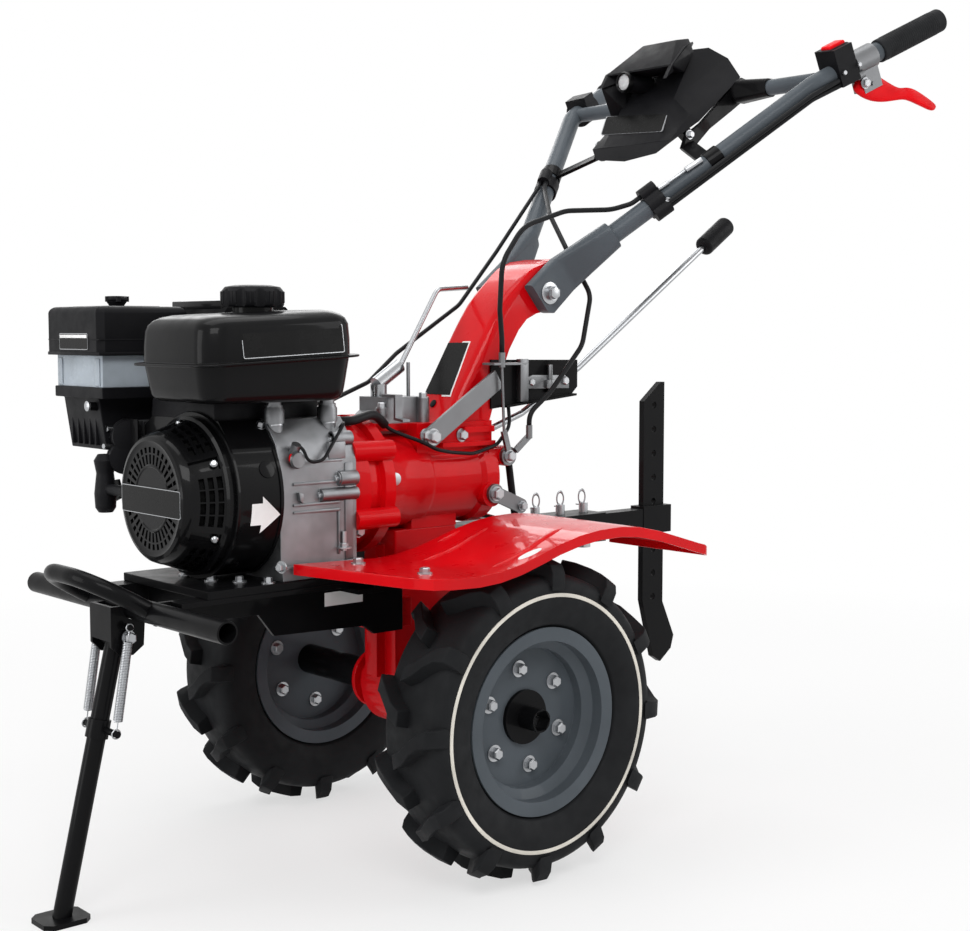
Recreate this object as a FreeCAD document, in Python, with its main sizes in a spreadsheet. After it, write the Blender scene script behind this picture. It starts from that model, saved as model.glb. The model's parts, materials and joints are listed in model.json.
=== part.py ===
import FreeCAD, Part
import math
import os
import Sketcher

# Walk-behind power weeder. Millimetres, +X forward, +Y to its left, +Z up, ground at Z 0.
# Inside this file X is counted from the axle; each finished piece is then moved by axle_ahead,
# which puts the origin on the ground under the middle of the whole machine.

SIZES = [
    ("axle_ahead", 113.4, "axle ahead of the middle of the machine"),
    ("tyre_radius", 203.0, "over the lugs"),
    ("tyre_width", 112.0, ""),
    ("wheel_side", 232.0, "middle of a tyre from the middle plane"),
    ("rim_radius", 117.0, "over the rim flange"),
    ("hex_flats", 23.4, "axle bar across flats"),
    ("hub_radius", 34.0, "hub flange"),
    ("rail_top", 372.0, "top of the frame rails"),
    ("rail_side", 70.0, "inner face of a rail"),
    ("bumper_ahead", 422.0, ""),
    ("bumper_height", 360.0, ""),
    ("bumper_half", 230.0, "half its length"),
    ("bumper_radius", 13.0, ""),
    ("stand_ahead", 432.0, "stand pivot"),
    ("stand_height", 327.0, "stand pivot"),
    ("stand_lean", 13.3, "degrees, foot ahead of the pivot"),
    ("leg_radius", 11.0, ""),
    ("deck", 10.0, "engine plate thickness"),
    ("crank_up", 101.0, "crankshaft above the engine plate"),
    ("drum_radius", 99.0, "fan housing"),
    ("case_side", 96.0, "half width of the crankcase foot"),
    ("tank_length", 231.0, ""),
    ("tank_width", 182.0, ""),
    ("barrel_radius", 60.0, "gearbox barrel"),
    ("column_side", 42.0, "half width of the handle column"),
    ("pivot_ahead", -206.0, "handlebar pivot"),
    ("pivot_height", 733.0, "handlebar pivot"),
    ("bar_radius", 14.0, "handlebar tube"),
    ("fender_side", 300.0, "outer edge of a mudguard"),
    ("fender_inner", 100.0, "inner edge of a mudguard"),
    ("sheet", 2.5, "mudguard sheet"),
    ("bar_width", 45.0, "depth bar"),
    ("bar_thick", 10.0, "depth bar"),
    ("gap", 0.3, "between pieces that turn or slide on each other"),
]

V = FreeCAD.Vector
doc = FreeCAD.newDocument("power_weeder")
sheet = doc.addObject("Spreadsheet::Sheet", "Sizes")
for row, (alias, number, note) in enumerate(SIZES, 1):
    sheet.set("A%d" % row, alias)
    sheet.set("B%d" % row, repr(number))
    sheet.set("C%d" % row, note)
    sheet.setAlias("B%d" % row, alias)
doc.recompute()


class Size:
    """A number together with the sheet formula that gives it."""

    def __init__(self, value, text):
        self.value = value
        self.text = text

    def with_(self, other, sign, value):
        return Size(value, "(%s %s %s)" % (self.text, sign, other.text))

    def __add__(self, other):
        other = size(other)
        return self.with_(other, "+", self.value + other.value)

    def __sub__(self, other):
        other = size(other)
        return self.with_(other, "-", self.value - other.value)

    def __mul__(self, other):
        other = size(other)
        return self.with_(other, "*", self.value * other.value)

    def __truediv__(self, other):
        other = size(other)
        return self.with_(other, "/", self.value / other.value)

    def __radd__(self, other):
        return size(other) + self

    def __rsub__(self, other):
        return size(other) - self

    def __rmul__(self, other):
        return size(other) * self

    def __neg__(self):
        return size(0) - self


def size(number):
    if isinstance(number, Size):
        return number
    text = "%.6g" % number
    return Size(float(number), "(%s)" % text if number < 0 else text)


def from_sheet(alias):
    return Size(float(sheet.get(alias)), "Sizes." + alias)


def tangent(angle):
    return Size(math.tan(math.radians(angle.value)), "tan(%s * 1 deg)" % angle.text)


def bind(thing, path, number):
    thing.setExpression(path, size(number).text)


WHERE = {}
NODES = []


def at(thing, x=0, y=0, z=0, axis=None, angle=0):
    """Place a shape; its own turn is fixed, its position follows the sheet."""
    if axis:
        thing.Placement = FreeCAD.Placement(V(0, 0, 0), FreeCAD.Rotation(V(*axis), angle))
    for letter, number in zip("xyz", (x, y, z)):
        bind(thing, "Placement.Base." + letter, number)
    WHERE[thing.Name] = x
    return thing


def node(thing, label):
    """Mark a finished piece and move it to the machine's own origin."""
    thing.Label = label
    bind(thing, "Placement.Base.x", from_sheet("axle_ahead") + WHERE.get(thing.Name, 0))
    NODES.append(thing)
    return thing


def new(kind, name):
    return doc.addObject(kind, "make_" + name)


def box(name, x, y, z):
    thing = new("Part::Box", name)
    for prop, (low, high) in zip(("Length", "Width", "Height"), (x, y, z)):
        bind(thing, prop, size(high) - low)
    return at(thing, x[0], y[0], z[0])


TURN = {"X": ((0, 1, 0), 90), "Y": ((1, 0, 0), -90), "Z": ((0, 0, 1), 0)}


def cyl(name, along, centre, radius, span):
    """A cylinder along a row axis; centre is its axis, span its two ends."""
    thing = new("Part::Cylinder", name)
    bind(thing, "Radius", radius)
    bind(thing, "Height", size(span[1]) - span[0])
    place = list(centre)
    place.insert("XYZ".index(along), span[0])
    axis, angle = TURN[along]
    return at(thing, *place, axis=axis, angle=angle)


def cone(name, along, centre, radii, span):
    thing = new("Part::Cone", name)
    bind(thing, "Radius1", radii[0])
    bind(thing, "Radius2", radii[1])
    bind(thing, "Height", size(span[1]) - span[0])
    place = list(centre)
    place.insert("XYZ".index(along), span[0])
    axis, angle = TURN[along]
    return at(thing, *place, axis=axis, angle=angle)


def fuse(name, *things):
    thing = new("Part::MultiFuse", name)
    thing.Shapes = list(things)
    return thing


def cut(name, base, *tools):
    thing = new("Part::Cut", name)
    thing.Base = base
    thing.Tool = tools[0] if len(tools) == 1 else fuse(name + "_tools", *tools)
    return thing


def common(name, first, second):
    thing = new("Part::Common", name)
    thing.Base = first
    thing.Tool = second
    return thing


def outline(body, role, points):
    """A closed polygon sketch; every corner is held by its distances from the origin."""
    sketch = body.newObject("Sketcher::SketchObject", body.Name + "_outline")
    plane = [f for f in body.Origin.OriginFeatures if f.Role == role][0]
    sketch.AttachmentSupport = [(plane, "")]
    sketch.MapMode = "FlatFace"
    points = [(size(a), size(b)) for a, b in points]
    count = len(points)
    for i in range(count):
        a = points[i]
        b = points[(i + 1) % count]
        sketch.addGeometry(Part.LineSegment(V(a[0].value, a[1].value, 0), V(b[0].value, b[1].value, 0)), False)
    for i in range(count):
        sketch.addConstraint(Sketcher.Constraint("Coincident", i, 2, (i + 1) % count, 1))
    for i, pair in enumerate(points):
        for kind, number in zip(("DistanceX", "DistanceY"), pair):
            index = sketch.addConstraint(Sketcher.Constraint(kind, -1, 1, i, 1, number.value))
            bind(sketch, "Constraints[%d]" % index, number)
    return sketch


def pad(name, role, points, thickness, place=(0, 0, 0), axis=None, angle=0):
    """A body padded both ways from its sketch plane."""
    body = new("PartDesign::Body", name)
    sketch = outline(body, role, points)
    feature = body.newObject("PartDesign::Pad", body.Name + "_pad")
    feature.Profile = sketch
    feature.SideType = "Symmetric"
    bind(feature, "Length", thickness)
    body.Tip = feature
    sketch.Visibility = False
    return at(body, *place, axis=axis, angle=angle)


def turned(name, role, points, place=(0, 0, 0), line="H_Axis", axis=None, angle=0):
    """A body revolved about a line of its sketch."""
    body = new("PartDesign::Body", name)
    sketch = outline(body, role, points)
    feature = body.newObject("PartDesign::Revolution", body.Name + "_turn")
    feature.Profile = sketch
    feature.ReferenceAxis = (sketch, [line])
    feature.Angle = 360
    body.Tip = feature
    sketch.Visibility = False
    return at(body, *place, axis=axis, angle=angle)


def rounded(body, radius, test):
    """Fillet the edges of a body's tip whose middle and direction pass the test."""
    doc.recompute()
    tip = body.Tip
    names = []
    for index, edge in enumerate(tip.Shape.Edges, 1):
        middle = edge.valueAt((edge.FirstParameter + edge.LastParameter) / 2)
        way = edge.tangentAt((edge.FirstParameter + edge.LastParameter) / 2)
        if test(middle, way):
            names.append("Edge%d" % index)
    feature = body.newObject("PartDesign::Fillet", body.Name + "_round")
    feature.Base = (tip, names)
    bind(feature, "Radius", radius)
    body.Tip = feature
    return body


def shape(name, solid):
    thing = new("Part::Feature", name)
    thing.Shape = solid
    return thing


def mm(*numbers):
    return V(*[size(n).value for n in numbers])


def route(points, bend):
    """A path of straight runs joined by tangent arcs of one radius, or one for each corner."""
    corners = len(points) - 2
    radii = bend if isinstance(bend, (list, tuple)) else [bend] * corners
    edges = []
    last = points[0]
    for i in range(corners):
        before, here, after = points[i], points[i + 1], points[i + 2]
        into = (here - before).normalize()
        out = (after - here).normalize()
        turn = into.getAngle(out)
        if turn < 0.01:
            continue
        back = radii[i] * math.tan(turn / 2)
        start = here - into * back
        end = here + out * back
        inward = (out - into).normalize()
        middle = here + inward * (radii[i] / math.cos(turn / 2) - radii[i])
        if (start - last).Length > 1e-4:
            edges.append(Part.LineSegment(last, start).toShape())
        edges.append(Part.Arc(start, middle, end).toShape())
        last = end
    edges.append(Part.LineSegment(last, points[-1]).toShape())
    return Part.Wire(edges)


def swept(points, radius, bend, bore=0):
    """A round bar or tube along a path."""
    path = route(points, bend)
    first = (points[1] - points[0]).normalize()

    def solid(r):
        ring = Part.Wire([Part.Circle(points[0], first, r).toShape()])
        return path.makePipeShell([ring], True, False)
    return solid(radius).cut(solid(bore)) if bore else solid(radius)


def rod(start, end, radius):
    way = end - start
    return Part.makeCylinder(radius, way.Length, start, way)


# ---------------------------------------------------------------- wheels and axle
gap = from_sheet("gap")
tyre_r = from_sheet("tyre_radius")
tyre_half = from_sheet("tyre_width") / 2
wheel = from_sheet("wheel_side")
rim_r = from_sheet("rim_radius")
hub_r = from_sheet("hub_radius")
flats = from_sheet("hex_flats")
axle_z = tyre_r
seat = rim_r - 14
well = rim_r - 26
rim_bore = flats * 0.57735 + 1.79

# half sections of tyre and rim: distance from the wheel's middle plane, radius
TYRE = [(36.5, seat + 0.5), (36.5, rim_r + 1), (tyre_half - 12, rim_r + 2), (tyre_half - 4, rim_r + 15),
        (tyre_half, tyre_r - 55), (tyre_half, tyre_r - 40), (tyre_half - 5, tyre_r - 24),
        (tyre_half - 16, tyre_r - 11), (tyre_half - 32, tyre_r - 3), (10, tyre_r)]
RIM = [(42, rim_r - 3.5), (40.5, seat - 3.5), (24, seat - 3.5), (16, well - 3.5), (2.5, well - 3.5),
       (2.5, rim_bore), (-1.5, rim_bore), (-1.5, well - 3.5), (-16, well - 3.5), (-24, seat - 3.5),
       (-40.5, seat - 3.5), (-42, rim_r - 3.5), (-42, rim_r), (-38, rim_r), (-37, seat), (-22, seat),
       (-13, well), (13, well), (22, seat), (37, seat), (38, rim_r), (42, rim_r)]


def hexagon(across):
    """Corners of a hexagon whose flats are that far apart, the first corner level."""
    corner = across * 0.57735
    return [(corner, 0), (corner / 2, across / 2), (-corner / 2, across / 2),
            (-corner, 0), (-corner / 2, -across / 2), (corner / 2, -across / 2)]


for side, name in ((1, "left"), (-1, "right")):
    turn = {"axis": (0, 0, 1), "angle": 0 if side > 0 else 180}
    mirrored = [(-y, r) for y, r in TYRE[::-1]]
    node(turned("tyre_" + name, "YZ_Plane", TYRE + mirrored, (0, side * wheel, axle_z), **turn), "tyre_" + name)
    node(turned("rim_" + name, "YZ_Plane", RIM, (0, side * wheel, axle_z), **turn), "rim_" + name)
    spans = {"barrel": (80, wheel - 1.5, 21), "neck": (wheel - 1.5, wheel + 2.5, rim_bore - 0.3),
             "flange": (wheel + 2.5, wheel + 8, hub_r), "stub": (wheel + 8, wheel + 36, 14.5)}
    pieces = []
    for what, (low, high, radius) in spans.items():
        ends = (low, high) if side > 0 else (-high, -low)
        pieces.append(cyl("hub_%s_%s" % (name, what), "Y", (0, axle_z), radius, ends))
    bore = pad("hub_%s_bore" % name, "XZ_Plane", hexagon(flats + 2 * gap), 2 * wheel,
               (0, side * wheel, axle_z))
    node(cut("hub_" + name, fuse("hub_%s_metal" % name, *pieces), bore), "hub_" + name)

node(pad("axle", "XZ_Plane", hexagon(flats), 2 * wheel + 36, (0, 0, axle_z)), "axle_shaft")

# ---------------------------------------------------------------- frame
rail_top = from_sheet("rail_top")
rail_in = from_sheet("rail_side")
rail_out = rail_in + 6
bump_x = from_sheet("bumper_ahead")
bump_z = from_sheet("bumper_height")
bump_r = from_sheet("bumper_radius")
bump_half = from_sheet("bumper_half")
side_out = from_sheet("fender_side")
side_in = from_sheet("fender_inner")
skin = from_sheet("sheet")

# wave of the mudguard, seen from the side: x, height of its top face
WAVE = [(252, 403), (187, 401), (127, 399), (95, 401), (62, 407), (30, 416), (0, 425), (-35, 433), (-67, 437),
        (-105, 438), (-138, 435), (-175, 427), (-213, 416), (-250, 405), (-290, 395)]
WAVE = [(x, rail_top + (z - 372)) for x, z in WAVE]


def fender_band(top, bottom):
    return [(x, z - top) for x, z in WAVE] + [(x, z - bottom) for x, z in WAVE[::-1]]


rails = []
for side, name in ((1, "left"), (-1, "right")):
    plate_y = side * (rail_in + 3)
    plate = pad("rail_plate_" + name, "XZ_Plane",
                [(66, rail_top - 74), (112, rail_top - 74), (128, rail_top - 62), (262, rail_top - 58),
                 (284, rail_top - 30), (bump_x, rail_top - 27), (bump_x, rail_top), (66, rail_top)],
                6, (0, plate_y, 0))
    edge = (rail_out, rail_in + 30) if side > 0 else (-rail_in - 30, -rail_out)
    flange = box("rail_flange_" + name, (66, bump_x - 20), edge, (rail_top - 6, rail_top))
    post_y = (side_in + 2, side_in + 22) if side > 0 else (-side_in - 22, -side_in - 2)
    foot_y = (rail_out, side_in + 22) if side > 0 else (-side_in - 22, -rail_out)
    post = box("rail_post_" + name, (140, 146), post_y, (rail_top - 6, rail_top + 26.6 - skin))
    foot = box("rail_foot_" + name, (130, 170), foot_y, (rail_top - 12, rail_top - 6))
    rails += [plate, flange, post, foot]
rail_clear = cyl("rail_clear", "Y", (bump_x, bump_z), bump_r + gap, (-bump_half, bump_half))
cross_1 = box("rail_cross_front", (330, 350), (-rail_in, rail_in), (rail_top - 26, rail_top))
cross_2 = box("rail_cross_rear", (120, 140), (-rail_in, rail_in), (rail_top - 20, rail_top))
node(cut("frame", fuse("frame_steel", cross_1, cross_2, *rails), rail_clear), "frame_rails")
deck = rail_top + from_sheet("deck")
node(box("deck_plate", (108, 368), (-rail_in - 30, rail_in + 30), (rail_top, deck)), "engine_plate")

tube = cyl("bumper_outside", "Y", (bump_x, bump_z), bump_r, (-bump_half, bump_half))
bore = cyl("bumper_inside", "Y", (bump_x, bump_z), bump_r - 2.5, (-bump_half - 1, bump_half + 1))
node(cut("bumper", tube, bore), "bumper_tube")

lift = V(0.86, 0, 0.51)
loop_points = []
for y, reach in ((72, 0), (72, 86), (-72, 86), (-72, 0)):
    loop_points.append(mm(bump_x, y, bump_z) + lift * reach)
loop = shape("loop_bar", swept(loop_points, 10, 58))
node(cut("loop", loop, cyl("loop_clear", "Y", (bump_x, bump_z), bump_r + gap, (-bump_half, bump_half))),
     "bumper_loop")

# ---------------------------------------------------------------- front stand
piv_x = from_sheet("stand_ahead")
piv_z = from_sheet("stand_height")
leg_r = from_sheet("leg_radius")
lean = from_sheet("stand_lean")
reach = piv_z * tangent(lean)
ears = []
for side, name in ((1, "left"), (-1, "right")):
    ears.append(pad("ear_" + name, "XZ_Plane",
                    [(piv_x - 24, bump_z - 14), (piv_x - 22, piv_z - 12), (piv_x - 8, piv_z - 22),
                     (piv_x + 8, piv_z - 22), (piv_x + 20, piv_z - 10), (piv_x + 20, bump_z + 4),
                     (piv_x - 24, bump_z + 4)], 5, (0, side * 23.5, 0)))
web = box("bracket_web", (piv_x + 15, piv_x + 20), (-26, 26), (piv_z - 4, bump_z + 4))
pin = cyl("bracket_pin", "Y", (piv_x, piv_z), 5, (-27, 27))
heads = [cyl("bracket_head_" + n, "Y", (piv_x, piv_z), 7, ends)
         for n, ends in (("left", (26, 29)), ("right", (-29, -26)))]
hooks = [cyl("bracket_hook_" + n, "Y", (piv_x + 2, bump_z - 20), 3, ends)
         for n, ends in (("left", (24, 41)), ("right", (-41, -24)))]
clear = cyl("bracket_clear", "Y", (bump_x, bump_z), bump_r + gap, (-60, 60))
node(cut("bracket", fuse("bracket_steel", web, pin, *(ears + heads + hooks)), clear), "stand_bracket")

foot_x = piv_x + reach
slope = FreeCAD.Vector(math.tan(math.radians(lean.value)), 0, -1).normalize()


def on_leg(down, side=0, ahead=0):
    """A point on the leg's axis that far below the pivot, moved sideways and ahead of it."""
    return mm(piv_x, side, piv_z) + slope * down + V(ahead, 0, 0)


eye_low = piv_z.value / math.cos(math.radians(lean.value))
leg = shape("leg_tube", rod(on_leg(0), on_leg(eye_low - 4), leg_r.value))
sleeve = shape("leg_sleeve", rod(on_leg(100), on_leg(122), leg_r.value + 2.5))
head = cyl("leg_head", "Y", (piv_x, piv_z), 14, (-19, 19))
lugs = shape("leg_lugs", rod(on_leg(112, -41, -4), on_leg(112, 41, -4), 4))
plate = pad("leg_foot", "XY_Plane",
            [(-29, -16), (-20, -25), (20, -25), (29, -16), (29, 16), (20, 25), (-20, 25), (-29, 16)],
            6, (foot_x, 0, 3))
eye = cyl("leg_eye", "Y", (piv_x, piv_z), 5 + gap, (-40, 40))
node(cut("leg", fuse("leg_steel", leg, sleeve, head, lugs, plate), eye), "stand_leg")

coils = []
for side in (1, -1):
    top = mm(piv_x + 2, side * 37, bump_z - 23.8)
    low = on_leg(112, side * 37, -4) + V(0, 0, 4.8)
    way = (low - top).normalize()
    coils.append(rod(top + way * 14, low - way * 12, 5.5).fuse([rod(top, top + way * 15, 1.5),
                                                               rod(low - way * 13, low, 1.5)]))
node(shape("springs", Part.makeCompound(coils)), "stand_springs")

# ---------------------------------------------------------------- drive case and gearbox
crank_z = deck + from_sheet("crank_up")
barrel_r = from_sheet("barrel_radius")
split_z = crank_z - barrel_r - 3
case = [
    box("drive_box", (-58, 46), (-34, 34), (axle_z + 20, split_z)),
    cyl("drive_round", "Y", (0, axle_z), 52, (-34, 34)),
    cyl("drive_neck", "Y", (0, axle_z), 31, (-64, 64)),
    cyl("drive_step", "Y", (0, axle_z), 36, (-58, 58)),
    cyl("drive_face_left", "Y", (0, axle_z), 41, (64, 72)),
    cyl("drive_face_right", "Y", (0, axle_z), 41, (-72, -64)),
    box("drive_lug", (46, 106), (-rail_in, rail_in), (rail_top - 72, rail_top - 34)),
    box("drive_rib", (46, 60), (-12, 12), (axle_z + 20, split_z - 20)),
]
drive_bore = cyl("drive_bore", "Y", (0, axle_z), flats * 0.57735 + 0.8, (-80, 80))
node(cut("drive", fuse("drive_casting", *case), drive_bore), "drive_case")

top_z = crank_z + 77
barrel = turned("barrel", "XZ_Plane",
                [(20, 0), (20, barrel_r), (2, barrel_r), (-6, barrel_r - 2), (-84, barrel_r - 2),
                 (-90, barrel_r + 3), (-112, barrel_r + 3), (-118, barrel_r - 8), (-118, 0)], (0, 0, crank_z))
parts = [
    barrel,
    box("barrel_neck", (-58, 18), (-34, 34), (split_z, crank_z)),
    box("barrel_top", (-112, 18), (-46, 46), (crank_z, top_z)),
    box("barrel_shelf", (18, 62), (-46, 26), (crank_z + 68, top_z)),
    box("barrel_rib_low", (-112, -20), (-54, 54), (crank_z + 44, crank_z + 50)),
    box("barrel_rib_high", (-112, -60), (-52, 52), (crank_z + 62, crank_z + 70)),
    cyl("barrel_cap", "X", (0, crank_z), 40, (-128, -118)),
    cyl("barrel_boss_link", "Y", (5, crank_z + 59), 11, (46, 56)),
    cyl("barrel_boss_low", "Y", (-98, crank_z - 22), 17, (40, 64)),
    cyl("barrel_boss_high", "Y", (-130, crank_z + 28), 14, (38, from_sheet("column_side") + 14)),
    box("barrel_arm", (-134, -100), (38, 54), (crank_z + 18, crank_z + 38)),
]
node(fuse("gearbox", *parts), "gearbox_case")

bell = turned("bell", "XZ_Plane",
              [(150, 0), (150, 92), (126, 92), (122, 84), (104, 82), (102, 90), (86, 90), (84, 74),
               (46, 62), (20, 62), (20, 0)], (0, 0, crank_z))
lobes = []
for i, (y, z) in enumerate(((78, 48), (86, -36), (-78, 48), (-86, -36))):
    lobes.append(cyl("bell_lobe_%d" % i, "X", (y, crank_z + z), 13, (86, 150)))
node(fuse("clutch", bell, *lobes), "clutch_housing")

# ---------------------------------------------------------------- engine
case_y = from_sheet("case_side")
drum_r = from_sheet("drum_radius")
block = pad("case_block", "YZ_Plane",
            [(-88, deck + 12), (case_y - 4, deck + 12), (case_y - 4, crank_z + 38), (case_y - 14, crank_z + 64),
             (60, crank_z + 92), (-60, crank_z + 92), (-88, crank_z + 58)], 112, (206, 0, 0))
foot = box("case_foot", (150, 262), (-case_y, case_y), (deck, deck + 14))
boss = [cyl("case_boss_%d" % i, "X", (case_y + dy, crank_z + dz), 8, ends)
        for i, (dy, dz, ends) in enumerate(((-4, -1, (150, 205)), (-4, 18, (150, 180)),
                                            (-16, 66, (150, 180))))]
studs = [cyl("case_stud_%d" % i, "Z", (x, 62), 9, (crank_z + 60, deck + 215)) for i, x in enumerate((172, 250))]
node(fuse("case", block, foot, *(boss + studs)), "crankcase")

head = box("head_block", (160, 262), (-196, -88), (crank_z - 36, crank_z + 62))
fins = box("head_cover", (172, 250), (-214, -196), (crank_z - 28, crank_z + 54))
node(fuse("cylinder", head, fins), "cylinder_head")

drum = cyl("drum_round", "X", (0, crank_z), drum_r, (262, 326))
hood = pad("drum_hood", "YZ_Plane",
           [(-drum_r, crank_z), (drum_r, crank_z), (80, crank_z + 62), (52, crank_z + 92),
            (-104, crank_z + 92), (-124, crank_z + 80), (-124, crank_z + 10)], 60, (292, 0, 0))
node(fuse("drum", drum, hood), "fan_shroud")

RECOIL = [(0, 0), (0, drum_r - 3), (8, drum_r - 3), (10, drum_r - 7), (46, drum_r - 19), (54, drum_r - 23),
          (58, drum_r - 27), (58, 0)]
node(turned("recoil", "XZ_Plane", RECOIL, (326, 0, crank_z)), "recoil_starter")
grip = turned("grip_bar", "XZ_Plane",
              [(0, 0), (9, 0), (13, 6), (14, 24), (11, 50), (14, 66), (9, 74), (0, 74)],
              (357, -164, deck + 69), line="V_Axis")
guide = cyl("grip_guide", "Y", (357, crank_z - 2), 7, (-155, -70))
node(fuse("grip", grip, cut("grip_rod", guide, turned("grip_trim", "XZ_Plane", RECOIL, (326, 0, crank_z)))),
     "starter_grip")

tank_x = (387 - from_sheet("tank_length"), size(387))
tank_y = (130 - from_sheet("tank_width"), size(130))
tank_low = deck + 215
seam = deck + 259


def inset(margin):
    return [(tank_x[0] + margin, tank_y[0] + margin), (tank_x[1] - margin, tank_y[0] + margin),
            (tank_x[1] - margin, tank_y[1] - margin), (tank_x[0] + margin, tank_y[1] - margin)]


def shell(name, margin, low, high, corner, edge, upward, taper):
    body = pad(name, "XY_Plane", inset(margin), high - low, (0, 0, (low + high) / 2))
    body.Tip.SideType = "One side"
    body.Tip.Reversed = not upward
    body.Tip.TaperAngle = -taper
    bind(body, "Placement.Base.z", low if upward else high)
    rounded(body, corner, lambda p, t: abs(t.z) > 0.5)
    far = (high - low).value * (1 if upward else -1)
    return rounded(body, edge, lambda p, t: abs(p.z - far) < 0.5 and abs(t.z) < 0.1)


upper = shell("tank_upper", 9, seam + 3, deck + 316, 26, 15, True, -7)
lower = shell("tank_lower", 10, tank_low, seam, 24, 9, False, -9)
flange = pad("tank_flange", "XY_Plane", inset(0), 3, (0, 0, seam + 1.5))
rounded(flange, 24, lambda p, t: abs(t.z) > 0.5)
neck = cyl("tank_neck", "Z", (264, 40), 24, (deck + 300, deck + 322))
node(fuse("tank", upper, lower, flange, neck), "fuel_tank")
cap = turned("cap", "XZ_Plane", [(0, 0), (36, 0), (38, 3), (38, 18), (33, 24), (22, 26), (0, 26)],
             (264, 40, deck + 322), line="V_Axis")
notches = []
for i in range(10):
    angle = math.radians(36 * i)
    notches.append(cyl("cap_notch_%d" % i, "Z", (264 + 43 * math.cos(angle), 40 + 43 * math.sin(angle)), 8,
                       (deck + 321, deck + 349)))
node(cut("fuel_cap", cap, *notches), "fuel_cap")

filter_x = (252, 376)
filter_y = (-276, -136)
cover = pad("filter_lid", "XY_Plane",
            [(filter_x[0], filter_y[0]), (filter_x[1], filter_y[0]), (filter_x[1], filter_y[1] - 8),
             (filter_x[1] - 8, filter_y[1]), (filter_x[0], filter_y[1])], 62, (0, 0, deck + 299))
rounded(cover, 9, lambda p, t: p.z > 30 and abs(t.z) < 0.1)
knob = cyl("filter_knob", "Z", (314, -206), 8, (deck + 329, deck + 344))
knob_top = cyl("filter_knob_top", "Z", (314, -206), 13, (deck + 336, deck + 341))
node(fuse("filter_cover", cover, knob, knob_top), "air_filter_cover")
node(box("filter_bowl", (258, 368), (-268, -144), (deck + 228, deck + 268)), "air_filter_bowl")
base = box("filter_seat", (254, 371), (-271, -140), (deck + 214, deck + 228))
body = pad("filter_body", "XZ_Plane",
           [(290, deck + 148), (354, deck + 148), (364, deck + 214), (262, deck + 214)], 96, (0, -212, 0))
node(fuse("filter_base", base, body), "air_filter_base")
node(fuse("carb", box("carb_body", (276, 320), (-164, -130), (crank_z + 30, crank_z + 84)),
          box("carb_inlet", (262, 276), (-160, -136), (crank_z + 36, crank_z + 60)),
          cyl("carb_bowl", "Z", (298, -147), 15, (crank_z + 6, crank_z + 30))), "carburettor")
can = pad("muffler_can", "XZ_Plane",
          [(146, deck + 222), (240, deck + 222), (246, deck + 232), (246, deck + 318), (236, deck + 330),
           (150, deck + 330), (140, deck + 320), (140, deck + 230)], 148, (0, -134, 0))
neck = cyl("muffler_neck", "Z", (205, -150), 16, (crank_z + 62, deck + 222))
node(fuse("muffler", can, neck), "muffler")

# ---------------------------------------------------------------- handle column and its gear
col = from_sheet("column_side")
hp_x = from_sheet("pivot_ahead")
hp_z = from_sheet("pivot_height")
column = pad("column", "XZ_Plane",
             [(-36, top_z), (-50, top_z + 16), (-62, top_z + 40), (-80, top_z + 69), (-98, top_z + 99),
              (-118, top_z + 131), (-136, top_z + 157), (-154, top_z + 176), (hp_x + 34, hp_z + 19),
              (hp_x + 10, hp_z + 35), (hp_x - 18, hp_z + 46), (hp_x - 46, hp_z + 50), (hp_x - 50, hp_z + 30),
              (hp_x - 24, hp_z - 22), (hp_x + 8, hp_z - 28), (hp_x + 26, hp_z - 36), (-165, top_z + 122),
              (-148, top_z + 96), (-134, top_z + 64), (-122, top_z + 30), (-112, top_z)], 2 * col)
rounded(column, 13, lambda p, t: abs(p.y) > 30 and abs(t.y) < 0.2 and p.z > top_z.value + 2
        and (p.x + 110) * 0.85 + (p.z - top_z.value - 105) * 0.52 > 2 and p.x > hp_x.value - 40)
bore = cyl("column_bore", "Y", (hp_x, hp_z), 6 + gap, (-60, 60))
node(cut("column_piece", column, bore), "handle_column")
bolt = fuse("pivot", cyl("pivot_shank", "Y", (hp_x, hp_z), 6, (-col - 26, col + 26)),
            cyl("pivot_head", "Y", (hp_x, hp_z), 10, (col + 19, col + 27)),
            cyl("pivot_nut", "Y", (hp_x, hp_z), 10, (-col - 27, -col - 19)))
node(bolt, "pivot_bolt")

strap = pad("selector_strap", "YZ_Plane",
            [(4, top_z + 34), (4, top_z + 38), (34, top_z + 38), (34, top_z + 8), (50, top_z + 6),
             (50, top_z + 3), (30, top_z + 5), (30, top_z + 34)], 12, (38, 0, 0))
selector = [
    pad("selector_body", "XZ_Plane",
        [(-26, top_z), (54, top_z), (54, top_z + 10), (46, top_z + 16), (46, top_z + 34), (-20, top_z + 34),
         (-26, top_z + 28)], 60, (0, -12, 0)),
    cyl("selector_ear_1", "Z", (48, 10), 9, (top_z + 10, top_z + 20)),
    cyl("selector_ear_2", "Z", (-12, 22), 8, (top_z, top_z + 32)),
    cyl("selector_pin", "Z", (-12, -10), 2.5, (top_z + 34, top_z + 79)),
    strap,
]
node(fuse("selector", *selector), "selector_cover")
boot_low = mm(31, -24, top_z + 50)
boot_top = mm(-9, -26, top_z + 74)
boot = Part.makeCylinder(11, boot_low.z - top_z.value - 34, V(27, -24, top_z.value + 34))
boot = boot.fuse(rod(boot_low, boot_top, 10))
reverse = swept([(boot_low + boot_top) / 2, boot_top + V(-3, 0, 2), V(-84, -36, 738), V(-152, -54, 742)],
                3.5, [6, 16])
node(shape("reverse", boot.fuse(reverse)), "selector_rod")

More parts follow.
